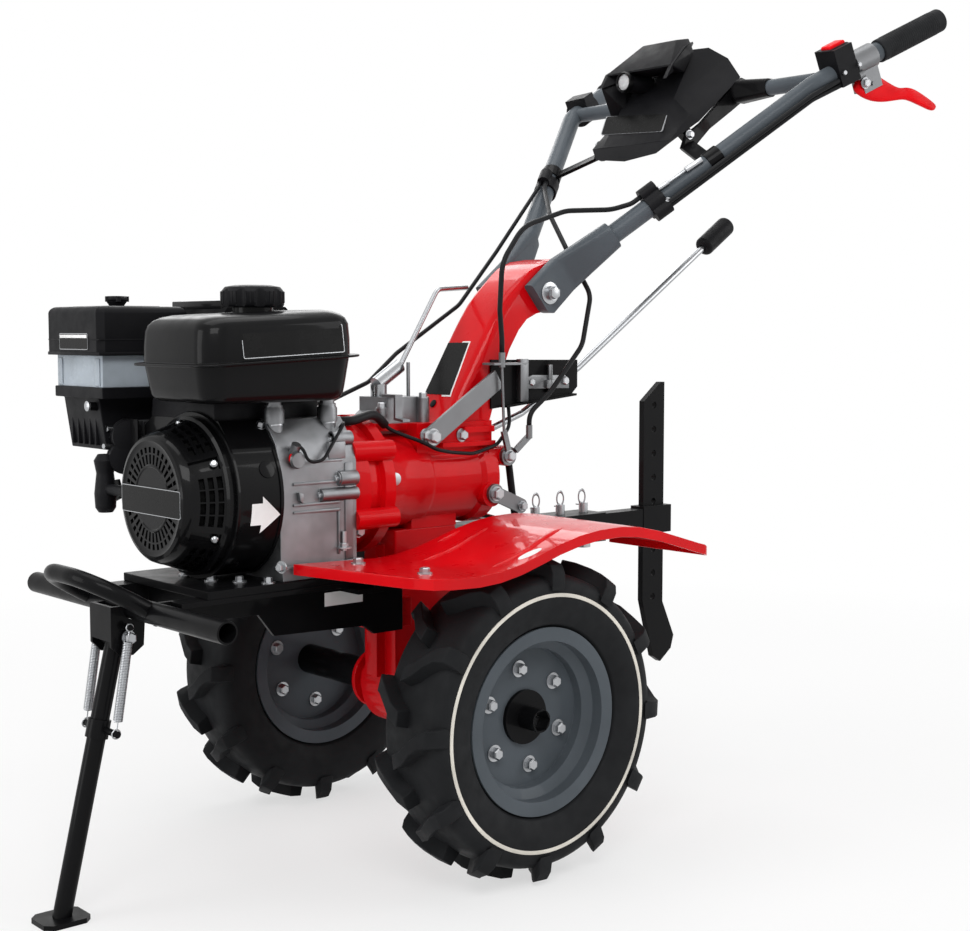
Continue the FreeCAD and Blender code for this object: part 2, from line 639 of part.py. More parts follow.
gate = [
    pad("gate_web", "XZ_Plane",
        [(-112, top_z + 15), (-262, top_z + 30), (-275, top_z + 42), (-275, top_z + 80), (-112, top_z + 82)],
        3, (0, col + 1.5, 0)),
    pad("gate_lip", "XZ_Plane",
        [(-130, top_z + 16.6), (-262, top_z + 30), (-262, top_z + 33), (-130, top_z + 19.6)],
        13, (0, col + 9, 0)),
    box("gate_tab", (-172, -158), (col + 3, col + 12), (top_z + 24, top_z + 82)),
]
node(fuse("gate", *gate), "gate_plate")
knob_at = V(-592, 20, 825)
lever_path = [mm(-113.9, 20, top_z - 20), mm(-190, 20, top_z + 6), V(-300, 20, 628), knob_at]
node(shape("shift", swept(lever_path, 5, 20)), "shift_lever")
way = (knob_at - lever_path[2]).normalize()
knob = rod(knob_at - way * 30, knob_at + way * 40, 15).cut(rod(knob_at - way * 31, knob_at, 5 + gap.value))
edges = [e for e in knob.Edges if abs(e.Length - 2 * math.pi * 15) < 0.1]
node(shape("shift_knob_piece", knob.makeFillet(7, edges)), "shift_knob")


def strip(start, end, flat, wide, thick):
    """A flat bar between two points; flat is the way its broad face looks."""
    way = end - start
    long = way.Length
    way.normalize()
    across = flat.cross(way).normalize()
    flat = way.cross(across)
    corners = [start + across * a * wide / 2 + flat * b * thick / 2
               for a, b in ((-1, -1), (1, -1), (1, 1), (-1, 1))]
    return Part.Face(Part.makePolygon(corners + [corners[0]])).extrude(way * long)


link_from = mm(3, 58.5, crank_z + 60)
link_to = V(-113, 58.5, 617)
link = strip(link_from, link_to, V(0, 1, 0), 27, 5)
node(shape("link", link.fuse(Part.makeCylinder(13.5, 5, link_from - V(0, 2.5, 0), V(0, 1, 0)))), "clutch_link")

side_y = col.value
disc_at = mm(-130, side_y + 14, crank_z + 28)
arm_at = mm(-100, 64, crank_z - 21)
arm_to = V(-147, 64, 442)
linkage = [
    Part.makeCylinder(13, 6, disc_at, V(0, 1, 0)),
    rod(V(-112, side_y + 25, 652), V(-112, side_y + 25, 632), 4.5),
    rod(V(-112, side_y + 25, 632), V(-118, side_y + 23, 540), 2),
    strip(V(-118, side_y + 22, 546), V(-126, side_y + 22, 519), V(0, 1, 0), 8, 5),
    rod(V(-162, side_y + 25, 552), V(-162, side_y + 25, 534), 4.5),
    strip(V(-164, side_y + 22.5, 537), V(-139, side_y + 22.5, 518), V(0, 1, 0), 8, 5),
    strip(V(-96, side_y + 15.5, 636.5), V(-156, side_y + 15.5, 636.5), V(0, 0, 1), 25, 3),
]
lower = strip(arm_at, arm_to, V(0, 1, 0), 20, 5).fuse([Part.makeCylinder(10, 5, arm_to - V(0, 2.5, 0), V(0, 1, 0)),
                                                      Part.makeCylinder(13, 5, arm_at - V(0, 2.5, 0), V(0, 1, 0))])
lower.translate(V(0, 2.5, 0))
node(shape("linkage", Part.makeCompound([linkage[0].fuse(linkage[1:]), lower])), "shift_linkage")

# ---------------------------------------------------------------- rear hitch and depth bar
bar_w = from_sheet("bar_width")
bar_t = from_sheet("bar_thick")
hitch_low = split_z - 48
bar_x = -478
beam = [
    box("hitch_tube", (-352, -58), (-28, 28), (hitch_low, split_z - 6)),
    box("hitch_arm", (-450, -352), (-13, 13), (hitch_low + 4, split_z - 10)),
    box("hitch_clamp", (bar_x - bar_w / 2 - 8, bar_x + bar_w / 2 + 8), (-bar_t / 2 - 9, bar_t / 2 + 9),
        (hitch_low, split_z - 6)),
]
slot = box("hitch_slot", (bar_x - bar_w / 2 - gap, bar_x + bar_w / 2 + gap), (-bar_t / 2 - gap, bar_t / 2 + gap),
           (hitch_low - 1, split_z))
holes = [cyl("hitch_hole_%d" % i, "Z", (x, 0), 7, (hitch_low - 50, split_z + 10))
         for i, x in enumerate((-120, -235, -285, -332))]
node(cut("hitch", fuse("hitch_steel", *beam), slot, *holes), "hitch_beam")
pins = []
for i, x in enumerate((-235, -285, -332)):
    pins.append(cyl("hitch_pin_%d" % i, "Z", (x, 0), 7 - gap, (hitch_low - 10, split_z + 8)))
    pins.append(cyl("hitch_pin_head_%d" % i, "Z", (x, 0), 11, (hitch_low - 10, hitch_low)))
node(fuse("hitch_pins_piece", *pins), "hitch_pins")

half = bar_w / 2
bar = pad("bar", "XZ_Plane",
          [(bar_x + half, 268), (bar_x + half, 574), (bar_x - half + 8, 603), (bar_x - half, 603),
           (bar_x - half, 262), (bar_x - half - 26, 206), (bar_x - half - 20, 186), (bar_x - half + 4, 168),
           (bar_x - half + 20, 178)], bar_t)
holes = [cyl("bar_hole_%d" % i, "Y", (bar_x, z), 5, (-20, 20)) for i, z in enumerate(range(272, 580, 37))]
node(cut("depth", bar, *holes), "depth_bar")

# ---------------------------------------------------------------- mudguards
for side, name in ((1, "left"), (-1, "right")):
    plan = [(250, side_in), (206, side_out - 34), (190, side_out - 8), (168, side_out), (-262, side_out),
            (-286, side_out - 18), (-288, side_in)]
    small = [(246, side_in - 1), (203, side_out - 36), (188, side_out - 10.5), (167, side_out - skin),
             (-261, side_out - skin), (-283.5, side_out - 19), (-285.5, side_in - 1)]
    if side < 0:
        plan = [(x, -y) for x, y in plan]
        small = [(x, -y) for x, y in small]
    top = pad("fender_top_" + name, "XZ_Plane", fender_band(0, skin), 1000)
    rim = pad("fender_rim_" + name, "XZ_Plane", fender_band(skin, 13), 1000)
    area = pad("fender_area_" + name, "XY_Plane", plan, 400, (0, 0, rail_top))
    ring = cut("fender_ring_" + name, pad("fender_outer_" + name, "XY_Plane", plan, 400, (0, 0, rail_top)),
               pad("fender_inner_" + name, "XY_Plane", small, 402, (0, 0, rail_top)))
    node(fuse("fender_" + name, common("fender_sheet_" + name, top, area),
              common("fender_lip_" + name, rim, ring)), "fender_" + name)
    reach_y = (28, side_in + 30) if side > 0 else (-side_in - 30, -28)
    stay = box("stay_block_" + name, (-262, -226), reach_y, (split_z - 30, rail_top + 90))
    above = pad("stay_above_" + name, "XZ_Plane", fender_band(-200, skin), 1000)
    under = pad("stay_under_" + name, "XZ_Plane", fender_band(skin + 5, 300), 1000)
    flat = cut("stay_flat_" + name, stay, above, under)
    riser_y = (28, 33) if side > 0 else (-33, -28)
    riser = box("stay_riser_" + name, (-262, -226), riser_y, (hitch_low + 8, rail_top + 90))
    riser = cut("stay_rise_" + name, riser,
                pad("stay_over_" + name, "XZ_Plane", fender_band(-200, skin), 1000))
    node(fuse("stay_" + name, flat, riser), "fender_stay_" + name)

# ---------------------------------------------------------------- handlebar
bar_r = from_sheet("bar_radius")


def ring(centre, normal, wide, tall, corner):
    """A rounded rectangle wire, tall along the plane's steepest line."""
    normal = V(normal).normalize()
    level = V(0, 0, 1).cross(normal).normalize()
    rise = normal.cross(level)
    a, b, c = wide / 2, tall / 2, corner
    rim = []
    points = []
    for su, sv in ((1, 1), (-1, 1), (-1, -1), (1, -1)):
        one = (su * a, sv * (b - c)) if su * sv > 0 else (su * (a - c), sv * b)
        two = (su * (a - c), sv * b) if su * sv > 0 else (su * a, sv * (b - c))
        arc = (su * (a - c * 0.29289), sv * (b - c * 0.29289))
        points.append([centre + level * p[0] + rise * p[1] for p in (one, arc, two)])
    for i in range(4):
        rim.append(Part.Arc(*points[i]).toShape())
        rim.append(Part.LineSegment(points[i][2], points[(i + 1) % 4][0]).toShape())
    return Part.Wire(rim)


hx, hz = hp_x.value, hp_z.value
axis_dir = V(-0.77, 0, 0.64).normalize()
bars = {}
full = {}
for side, name in ((1, "left"), (-1, "right")):
    inner_y = col.value + 0.5
    mid_y = side * (inner_y + 9)
    tip = V(hx, mid_y, hz) - axis_dir * 19
    tube_dir = V(-257, side * 168, 225).normalize()
    start = V(hx - 94, side * 88, hz + 82)
    bend = V(-545, side * 248, 1030)
    end = V(-754, side * 306, 1135)
    sections = [ring(tip, axis_dir, 18, 58, 5), ring(V(hx, mid_y, hz) + axis_dir * 40, axis_dir, 18, 56, 5),
                ring(start, tube_dir, 33, 40, 14)]
    cheek = Part.makeLoft(sections, True, True)
    hole = Part.makeCylinder(6 + gap.value, 60, V(hx, side * (inner_y - 5), hz), V(0, side, 0))
    foot = V(hx, side * (inner_y - 5), hz) - axis_dir * 2 + V(-axis_dir.z, 0, axis_dir.x) * 12
    trim = Part.makePolygon([foot, foot - axis_dir * 30, foot - axis_dir * 30 + V(-axis_dir.z, 0, axis_dir.x) * 30,
                             foot + V(-axis_dir.z, 0, axis_dir.x) * 30, foot])
    trim = Part.Face(trim).extrude(V(0, side * 40, 0)).cut(Part.makeCylinder(17, 40, foot, V(0, side, 0)))
    path = [start - tube_dir * 20, bend, end]
    bars[side] = (start, bend, end)
    full[side] = swept(path, bar_r.value + 0.2, 70)
    node(shape("bar_" + name, cheek.cut([hole, trim]).fuse(swept(path, bar_r.value, 70, bar_r.value - 2.5))),
         "handlebar_" + name)
    grip_dir = (end - bend).normalize()
    begin = end - grip_dir * 120
    sleeve = rod(begin, end + grip_dir * 4, 17)
    sleeve = sleeve.cut(rod(begin - grip_dir, end + grip_dir * 0.3, bar_r.value + gap.value))
    edges = [e for e in sleeve.Edges if abs(e.Length - 2 * math.pi * 17) < 0.1]
    node(shape("grip_" + name, sleeve.makeFillet(2.5, edges)), "grip_" + name)

cross_at = V(-556, 0, 1036)
cross = rod(cross_at + V(0, -238, 0), cross_at + V(0, 238, 0), 11.5)
node(shape("crossbar", cross.cut(full[1]).cut(full[-1])), "handlebar_cross")

# console: its own frame, u to the left, v up its slope, n out of its face
con_o = V(-430, 0, 950)
con_u = V(0, 1, 0)
con_v = V(-0.524, 0, 0.8517)
con_n = V(0.8517, 0, 0.524)


def on_console(u, v, n):
    return con_o + con_u * u + con_v * v + con_n * n


def slab(u, points):
    """A prism across the console between two values of u; points are v, n."""
    corners = [on_console(u[0], v, n) for v, n in points]
    return Part.Face(Part.makePolygon(corners + [corners[0]])).extrude(con_u * (u[1] - u[0]))


def facets(loops):
    """A closed solid from its flat or fanned faces."""
    faces = []
    for loop in loops:
        for a, b in zip(loop[1:], loop[2:]):
            faces.append(Part.Face(Part.makePolygon([loop[0], a, b, loop[0]])))
    solid = Part.Solid(Part.Shell(faces))
    if solid.Volume < 0:
        solid.reverse()
    return solid


HALF = {"chin": (62, -17, 6), "low": (80, 4, 7), "inner_low": (58, 4, 8), "inner_mid": (52, 80, 10),
        "inner_top": (35, 182, -2), "fold": (78, 62, -9), "rim_low": (87, 24, -4), "rim_mid": (90, 57, -21),
        "rim_top": (95, 163, -56), "corner": (67, 192, -43), "brow": (45, 196, -18)}
MIDDLE = {"chin_middle": (0, -24, 4), "low_middle": (0, 2, 8), "top_middle": (0, 205, -50), "back": (0, 90, -25)}
LOOPS = [("low_middle", "inner_low", "inner_mid", "inner_mid*", "inner_low*"),
         ("inner_mid", "inner_top", "inner_top*", "inner_mid*"), ("inner_top", "top_middle", "inner_top*")]
HALF_LOOPS = [("inner_low", "low", "fold", "inner_mid"), ("inner_mid", "fold", "corner", "brow", "inner_top"),
              ("fold", "rim_mid", "rim_top", "corner"), ("low", "rim_low", "rim_mid", "fold"),
              ("chin", "rim_low", "low"), ("low_middle", "chin_middle", "chin", "low", "inner_low"),
              ("corner", "rim_top", "top_middle"), ("brow", "corner", "top_middle"),
              ("inner_top", "brow", "top_middle"), ("back", "chin", "chin_middle"), ("back", "rim_low", "chin"),
              ("back", "rim_mid", "rim_low"), ("back", "rim_top", "rim_mid"), ("back", "top_middle", "rim_top")]


def corner_at(name, side):
    if name in MIDDLE:
        return on_console(*MIDDLE[name])
    flip = -1 if name.endswith("*") else 1
    u, v, n = HALF[name.rstrip("*")]
    return on_console(u * side * flip, v, n)


loops = [[corner_at(name, 1) for name in loop] for loop in LOOPS]
for side in (1, -1):
    for loop in HALF_LOOPS:
        loops.append([corner_at(name, side) for name in (loop if side > 0 else loop[:1] + loop[:0:-1])])
cover = facets(loops)


def level(half, low, high, n):
    corners = [on_console(u, v, n) for u, v in ((-half, low), (half, low), (half, high), (-half, high))]
    return Part.makePolygon(corners + [corners[0]])


visor = Part.makeLoft([level(20, 160, 200, -8), level(27, 150, 196, 0), level(48, 118, 163, 27),
                       level(69, 82, 108, 52)], True, True)
cavity = Part.makeLoft([level(28, 112, 148, 11), level(42.5, 100, 153, 27), level(63.5, 74, 101, 54)], True, True)
lamp_at = on_console(-25, 92, 47)
lamp_dir = V(1, 0, 0)
lamp_body = rod(lamp_at - lamp_dir * 52, lamp_at, 14)
body = cover.fuse([visor.cut(cavity), lamp_body]).cut(rod(lamp_at - lamp_dir * 12, lamp_at + lamp_dir * 20, 12))
node(shape("lamp", rod(lamp_at - lamp_dir * 12, lamp_at - lamp_dir * 1, 11.7)), "headlight")

along = (bars[1][2] - bars[1][1]).normalize()


def collar(name, label, centre, way, length, radius, extra, other=None):
    """A clamp or switch body round a handlebar tube."""
    solid = rod(centre - way * length / 2, centre + way * length / 2, radius).fuse(extra)
    solid = solid.cut(full[1]).cut(full[-1])
    if other:
        solid = solid.cut(other)
    return node(shape(name, solid), label) if label else shape(name, solid)


def block(centre, way, upward, length, wide, low, high):
    across = way.cross(upward).normalize()
    base = centre - way * length / 2 - across * wide / 2
    corners = [base + upward * low, base + across * wide + upward * low, base + across * wide + upward * high,
               base + upward * high]
    return Part.Face(Part.makePolygon(corners + [corners[0]])).extrude(way * length)


arms = []
sockets = []
for side in (1, -1):
    pads, bridges, rim = [(u[0] * side, u[1] * side) for u in ((66, 80), (66, 86), (85, 92))]
    sockets.append(slab(pads, [(28, -26), (44, -26), (44, -8), (28, -4)]))
    sockets.append(slab(pads, [(128, -66), (148, -66), (148, -44), (128, -38)]))
    arms.append(slab(bridges, [(28, -30), (44, -30), (44, -21), (28, -21)]))
    arms.append(slab(rim, [(2, -12), (24, -9), (57, -25), (166, -61), (174, -80), (150, -88), (112, -70), (60, -44), (8, -28)]))
    start, bend = bars[side][:2]
    way = (bend - start).normalize()
    spot = start + way * 180
    arms.append(Part.makeLoft([ring(cross_at + V(0, side * 62, 0), V(0, 1, 0), 27, 27, 13),
                               ring(cross_at + V(0, side * 93, 0), V(0, 1, 0), 27, 27, 13),
                               ring(cross_at + V(0, side * 102, 0), V(0, 1, 0), 30, 34, 8),
                               ring(cross_at + V(0, side * 158, 0), V(0, 1, 0), 25, 26, 8)], True, True))
    arms.append(strip(V(-454, side * 88, 951), spot + V(0, -side * 12, 0), V(0.5, 0, 0.86), 22, 5))
    arms.append(rod(spot - way * 11, spot + way * 11, 16.3))
node(shape("console", body.cut(sockets[0].fuse(sockets[1:]))), "console_cover")
frame = sockets[0].fuse(sockets[1:] + arms).cut(full[1]).cut(full[-1])
frame = frame.cut(rod(cross_at + V(0, -238, 0), cross_at + V(0, 238, 0), 11.5 + gap.value))
node(shape("console_arms", frame), "console_frame")

switch_at = bars[1][1] + along * 46
up = along.cross(V(0, 1, 0)).normalize()
up = up if up.z > 0 else -up
out = along.cross(up).normalize()
perch_at = bars[1][1] + along * 88
adjuster = perch_at - along * 24 + (out - up).normalize() * 21
pivot = perch_at - up * 35
perch = block(perch_at, along, up, 34, 24, -44, -10).cut(block(perch_at, along, up, 60, 15, -60, -20))
perch = perch.fuse([rod(pivot - out * 15, pivot + out * 15, 3), rod(adjuster, adjuster + along * 10, 5.5)])
collar("perch", "lever_perch", perch_at, along, 40, 18, perch)
lever_line = [(V(-607, 267, 1020), 14, 12), (V(-622, 271, 1024), 14, 20), (V(-655, 281, 1029), 14, 27),
              (V(-672, 287, 1023), 13, 13), (V(-700, 295, 1026), 12, 14), (V(-755, 310, 1006), 12, 11)]
lever = Part.makeLoft([ring(p, along, wide, tall, 4) for p, wide, tall in lever_line], True, True)
clear = perch.fuse(rod(pivot - out * 16, pivot + out * 16, 3 + gap.value))
node(shape("lever", lever.cut(clear)), "clutch_lever")
along_r = V(along.x, -along.y, along.z)
up_r = V(up.x, -up.y, up.z)
out_r = V(out.x, -out.y, out.z)
throttle_at = bars[-1][1] + along_r * 40
throttle = block(throttle_at, along_r, up_r, 30, 38, -10, 24)
collar("throttle", "throttle_cluster", throttle_at, along_r, 34, 22.5, throttle)

# cable clips, each with a lobe above the tube for the cables below it and one outside it for those beyond
clips = []
lobes = {}
for side, distance in ((1, 76), (-1, 145)):
    start, bend = bars[side][:2]
    way = (bend - start).normalize()
    rise = V(0.494, -side * 0.322, 0.808)
    rise = (rise - way * rise.dot(way)).normalize()
    outward = way.cross(rise).normalize() * side
    under = (outward - rise).normalize()
    spot = start + way * distance
    lobes[side] = (spot, way, rise, outward, under)
    lobe = [rod(spot - way * 13 + reach, spot + way * 13 + reach, 9.5) for reach in (rise * 19.5, under * 19)]
    clips.append(collar("clip_" + str(distance), None, spot, way, 26, 17.5, lobe).Shape)
node(shape("clips", Part.makeCompound(clips)), "cable_clips")


def leaving(side, high, lateral):
    """The first two points of a cable at a clip: down from above the tube, or up from outside it."""
    spot, way, rise, outward, under = lobes[side]
    if high:
        start = spot - way * 13 + rise * 19.5 + outward * lateral
        return [start, start - way * 16]
    start = spot + way * 13 + under * 20 + (outward + rise).normalize() * lateral
    return [start, start + way * 16]


switch_end = switch_at - along * 17 + (out - up).normalize() * 19
throttle_end = throttle_at - along_r * 17 + (out_r - up_r).normalize() * 19
runs = []
for side, last, way, off in ((1, adjuster, along, 0), (1, switch_end, along, 8), (-1, throttle_end, along_r, 0)):
    middle = bars[side][1] + lobes[side][4] * 20
    across = (lobes[side][3] + lobes[side][2]).normalize() * off
    last = last + across
    runs.append(leaving(side, False, off) + [middle - lobes[side][1] * 22 + across, last - way * 14, last])
passing = swept(runs[0], 4, 30)
switch = block(switch_at, along, up, 34, 42, -18, 36)
collar("switch", "switch_box", switch_at, along, 34, 20, switch, cross.fuse(passing))

# ---------------------------------------------------------------- cables
CLUTCH = leaving(1, True, 4.5) + [V(-296, 90, 850), V(-225, 72, 846), V(-151, 66, 822), V(-114, 65, 773),
          V(-109, side_y + 24, 709), V(-112, side_y + 25, 670), V(-112, side_y + 25, 652)]
REVERSE = leaving(-1, True, -4.5) + [V(-300, -40, 850), V(-268, 30, 795), V(-291, 55, 732),
           V(-260, 70, 661), V(-199, 70, 597), V(-162, side_y + 25, 568), V(-162, side_y + 25, 552)]
THROTTLE = leaving(-1, True, 4.5) + [V(-256, -108, 798), V(-165, -86, 718), V(-40, -72, 650),
            V(20, -56, 612), V(110, -30, 587), V(240, -44, 586), V(297, -100, 588), mm(298, -142, crank_z + 108),
            mm(298, -142, crank_z + 84.3)]
LOOM = [mm(150, 50, crank_z + 85), mm(124, 50, crank_z + 85), mm(84, 41, crank_z + 93), mm(63, 36, crank_z + 77)]
KILL = [LOOM[-1], LOOM[-1] + (LOOM[-1] - LOOM[-2]).normalize() * 11.2, mm(43, 46, crank_z + 64),
        mm(22, 63, crank_z + 54), mm(-1, 65, crank_z + 43), mm(-28, 62, crank_z + 38), mm(-68, 60, crank_z + 34),
        mm(-112, 57, crank_z + 44), V(-140.73, side_y + 9, 550.54), V(-138, side_y + 9, 577.41)]
SENSOR = [mm(238, 84.2, crank_z + 58.3), mm(238, 101, crank_z + 64.8), mm(226, 100, crank_z + 40),
          mm(204, 99, crank_z + 42), mm(158, 82.6, crank_z + 89.2), mm(158, 70, crank_z + 79.3)]
cables = [swept(CLUTCH, 3.5, [30, 50, 60, 60, 60, 60, 60]), swept(REVERSE, 3.5, [30, 40, 30, 30, 50, 60, 25]),
          swept(THROTTLE, 3, [30, 60, 60, 60, 40, 60, 40, 20, 14]), swept(LOOM, 6, [30, 30]),
          swept(KILL, 2.5, [20, 30, 30, 40, 60, 60, 30, 20]), swept(SENSOR, 2, [9, 14, 20, 9])]
node(shape("cables", Part.makeCompound(cables)), "control_cables")
node(shape("bar_runs", Part.makeCompound([swept(points, 3.5, 30) for points in runs])), "bar_cables")

doc.recompute()

os.makedirs("parts", exist_ok=True)
bad = [o.Label for o in doc.Objects if "Invalid" in o.State or "Error" in o.State]
for thing in NODES:
    if thing.Shape.isNull() or not thing.Shape.isValid() or not thing.Shape.Solids:
        bad.append(thing.Label)
if bad:
    raise RuntimeError("faulty: %s" % ", ".join(bad))
for thing in NODES:
    thing.Shape.exportStep("parts/%s.step" % thing.Label)
    print(thing.Label, len(thing.Shape.Solids), round(thing.Shape.Volume))
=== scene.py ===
"""Walk-behind power weeder: finishes and fine detail built around its solid parts."""

import json
import math

import bmesh
import bpy
from bpy.props import FloatProperty, FloatVectorProperty, IntProperty, PointerProperty
from mathutils import Matrix, Vector
from mathutils.bvhtree import BVHTree


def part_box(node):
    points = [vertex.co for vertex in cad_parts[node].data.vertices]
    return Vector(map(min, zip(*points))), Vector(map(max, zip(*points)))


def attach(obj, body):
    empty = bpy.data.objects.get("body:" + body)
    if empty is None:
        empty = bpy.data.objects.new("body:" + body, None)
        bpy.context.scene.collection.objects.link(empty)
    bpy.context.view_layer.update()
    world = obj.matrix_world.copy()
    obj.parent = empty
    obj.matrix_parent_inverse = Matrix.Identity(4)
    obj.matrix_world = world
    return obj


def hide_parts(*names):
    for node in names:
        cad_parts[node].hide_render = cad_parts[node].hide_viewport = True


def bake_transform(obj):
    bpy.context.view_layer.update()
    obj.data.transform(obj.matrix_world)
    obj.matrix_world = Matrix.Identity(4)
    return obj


bl_info = {
    "name": "Power Weeder Looks",
    "version": (1, 0, 0),
    "blender": (4, 5, 0),
    "location": "View3D > Sidebar > Weeder",
    "description": "Finishes and fine detail of a walk-behind power weeder",
    "category": "Object",
}

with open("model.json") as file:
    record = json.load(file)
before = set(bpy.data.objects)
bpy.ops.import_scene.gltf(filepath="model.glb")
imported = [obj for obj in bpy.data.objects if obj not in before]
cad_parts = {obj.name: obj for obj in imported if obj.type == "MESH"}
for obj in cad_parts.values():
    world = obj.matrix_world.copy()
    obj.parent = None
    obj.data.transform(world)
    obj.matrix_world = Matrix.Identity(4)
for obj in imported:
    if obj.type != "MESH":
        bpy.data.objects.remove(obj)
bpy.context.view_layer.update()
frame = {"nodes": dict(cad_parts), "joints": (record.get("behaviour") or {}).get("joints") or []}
NODES = frame["nodes"]
AXLE = Vector(next(j for j in frame["joints"] if j["name"] == "wheel_spin")["pos_m"])
AHEAD, LEFT, RIGHT, UP = (Vector(way) for way in ((1, 0, 0), (0, 1, 0), (0, -1, 0), (0, 0, 1)))


# ------------------------------------------------------------------ settings
def length(name, description, default):
    return FloatProperty(name=name, description=description, default=default, min=0.0, subtype="DISTANCE",
                         unit="LENGTH")


def colour(name, description, default):
    return FloatVectorProperty(name=name, description=description, default=default, size=3, min=0.0, max=1.0,
                               subtype="COLOR")


class WeederSizes(bpy.types.PropertyGroup):
    """Sizes of the fine detail."""

    lug_count: IntProperty(name="Lugs a side", description="Lugs on each half of a tyre's tread", default=12,
                           min=6)
    lug_height: length("Lug height", "How far a lug stands above the tread", 0.019)
    band_radius: length("Band radius", "Middle of the pale band on a tyre's side", 0.158)
    bolt_circle: length("Wheel bolt circle", "Radius of the circle of wheel bolts", 0.062)
    tank_rise: length("Tank rise", "How much higher the tank is at its rear than in front", 0.011)
    spring_wire: length("Spring wire", "Radius of the wire of the stand's springs", 0.0009)
    edge: length("Edge round", "Radius on the edges of the solid parts", 0.0007)
    floor: length("Floor", "Half width of the floor", 6.0)
    light: FloatProperty(name="Light", description="Strength of all the lamps together", default=1.0, min=0.0)


class WeederColours(bpy.types.PropertyGroup):
    """Colours of the finishes."""

    red: colour("Red", "Paint of the castings, column and mudguards", (0.70, 0.002, 0.006))
    slate: colour("Slate", "Paint of the handlebar tubes and rims", (0.095, 0.110, 0.125))
    black: colour("Black", "Paint of the frame", (0.0045, 0.0045, 0.005))
    plastic: colour("Plastic", "Moulded black plastic", (0.0055, 0.0055, 0.0065))
    rubber: colour("Rubber", "Tyres and grips", (0.0105, 0.011, 0.012))
    cast: colour("Cast metal", "Bare cast aluminium", (0.25, 0.255, 0.265))
    zinc: colour("Zinc", "Bright plated steel", (0.45, 0.46, 0.475))
    bowl: colour("Bowl", "Clear plastic of the air filter bowl", (0.33, 0.37, 0.41))
    band: colour("Band", "Pale band on the tyres", (0.62, 0.59, 0.53))
    floor: colour("Floor", "Floor and backdrop", (0.86, 0.86, 0.86))


# ------------------------------------------------------------------ finishes
FINISH = {}


def node(tree, kind, values=None, **settings):
    """A new node with its settings and the values on its sockets."""
    made = tree.nodes.new(kind)
    for key, value in settings.items():
        setattr(made, key, value)
    for key, value in (values or {}).items():
        made.inputs[key].default_value = value
    return made


class Shader:
    """A material and short ways to add its nodes."""

    def __init__(self, name, colour, roughness, values=None):
        self.material = FINISH[name] = bpy.data.materials.new(name)
        self.material.use_nodes = True
        self.tree = self.material.node_tree
        self.tree.nodes.clear()
        self.colour = self.material.diffuse_color = (*colour, 1)
        self.surface = self.add("ShaderNodeBsdfPrincipled",
                                {"Base Color": self.colour, "Roughness": roughness, **(values or {})})
        self.out = self.add("ShaderNodeOutputMaterial")
        self.link(self.surface, "BSDF", self.out, "Surface")
        self.place = self.add("ShaderNodeTexCoord")

    def add(self, kind, values=None, **settings):
        return node(self.tree, kind, values, **settings)

    def link(self, a, out, b, into):
        self.tree.links.new(a.outputs[out], b.inputs[into])

    def noise(self, scale, detail=3.0, rough=0.5):
        made = self.add("ShaderNodeTexNoise", {"Scale": scale, "Detail": detail, "Roughness": rough})
        self.link(self.place, "Object", made, "Vector")
        return made

    def ramp(self, source, low, high, start=0.3, end=0.7, out="Fac"):
        made = self.add("ShaderNodeMapRange",
                        {"From Min": start, "From Max": end, "To Min": low, "To Max": high})
        self.link(source, out, made, "Value")
        return made

    def vary_colour(self, source, second):
        """Run the base colour towards a second one where the source is high."""
        mix = self.add("ShaderNodeMix", data_type="RGBA")
        mix.inputs["A"].default_value = self.colour
        mix.inputs["B"].default_value = (*second, 1)
        self.link(self.ramp(source, 0.0, 1.0, 0.35, 0.65), "Result", mix, "Factor")
        self.link(mix, "Result", self.surface, "Base Color")

    def vary_roughness(self, source, low, high):
        self.link(self.ramp(source, low, high), "Result", self.surface, "Roughness")

    def bump(self, source, strength, distance):
        made = self.add("ShaderNodeBump", {"Strength": strength, "Distance": distance})
        self.link(source, "Fac", made, "Height")
        for before in self.surface.inputs["Normal"].links:
            self.tree.links.new(before.from_socket, made.inputs["Normal"])
        self.link(made, "Normal", self.surface, "Normal")


def shade(colour, by):
    return tuple(max(0.0, min(1.0, c * by)) for c in colour)


def painted(name, colour, roughness, coat, peel, cast=0.0):
    """Sprayed paint: a clear gloss over colour, orange peel, faint dust and, on a casting, its sand grain."""
    s = Shader(name, colour, roughness, {"Specular IOR Level": 0.05, "Coat Weight": coat,
                                         "Coat Roughness": 0.06, "Coat IOR": 1.3})
    s.vary_colour(s.noise(9.0, 4.0), shade(colour, 0.8))
    s.vary_roughness(s.noise(38.0, 5.0), roughness * 0.85, roughness * 1.3)
    s.bump(s.noise(420.0, 2.0), peel, 0.0004)
    if cast:
        s.bump(s.noise(900.0, 4.0, 0.7), cast, 0.0006)


def moulded(name, colour, roughness, grain, scale=2200.0, values=None):
    """Moulded plastic with a fine spark-eroded grain and slightly worn sheen."""
    s = Shader(name, colour, roughness, {"Specular IOR Level": 0.1, **(values or {})})
    s.vary_colour(s.noise(14.0, 3.0), shade(colour, 1.35))
    s.vary_roughness(s.noise(60.0, 4.0), roughness * 0.85, roughness * 1.2)
    s.bump(s.noise(scale, 2.0, 0.6), grain, 0.0003)
    return s


def metal(name, colour, roughness, grain=0.0, blotch=0.75):
    """Bare or plated metal with clouded sheen and, on a casting, its grain."""
    s = Shader(name, colour, roughness, {"Metallic": 1.0})
    s.vary_colour(s.noise(26.0, 2.0), shade(colour, blotch))
    s.vary_roughness(s.noise(40.0, 2.0), roughness * 0.9, roughness * 1.1)
    if grain:
        s.bump(s.noise(1300.0, 4.0, 0.7), grain, 0.0004)


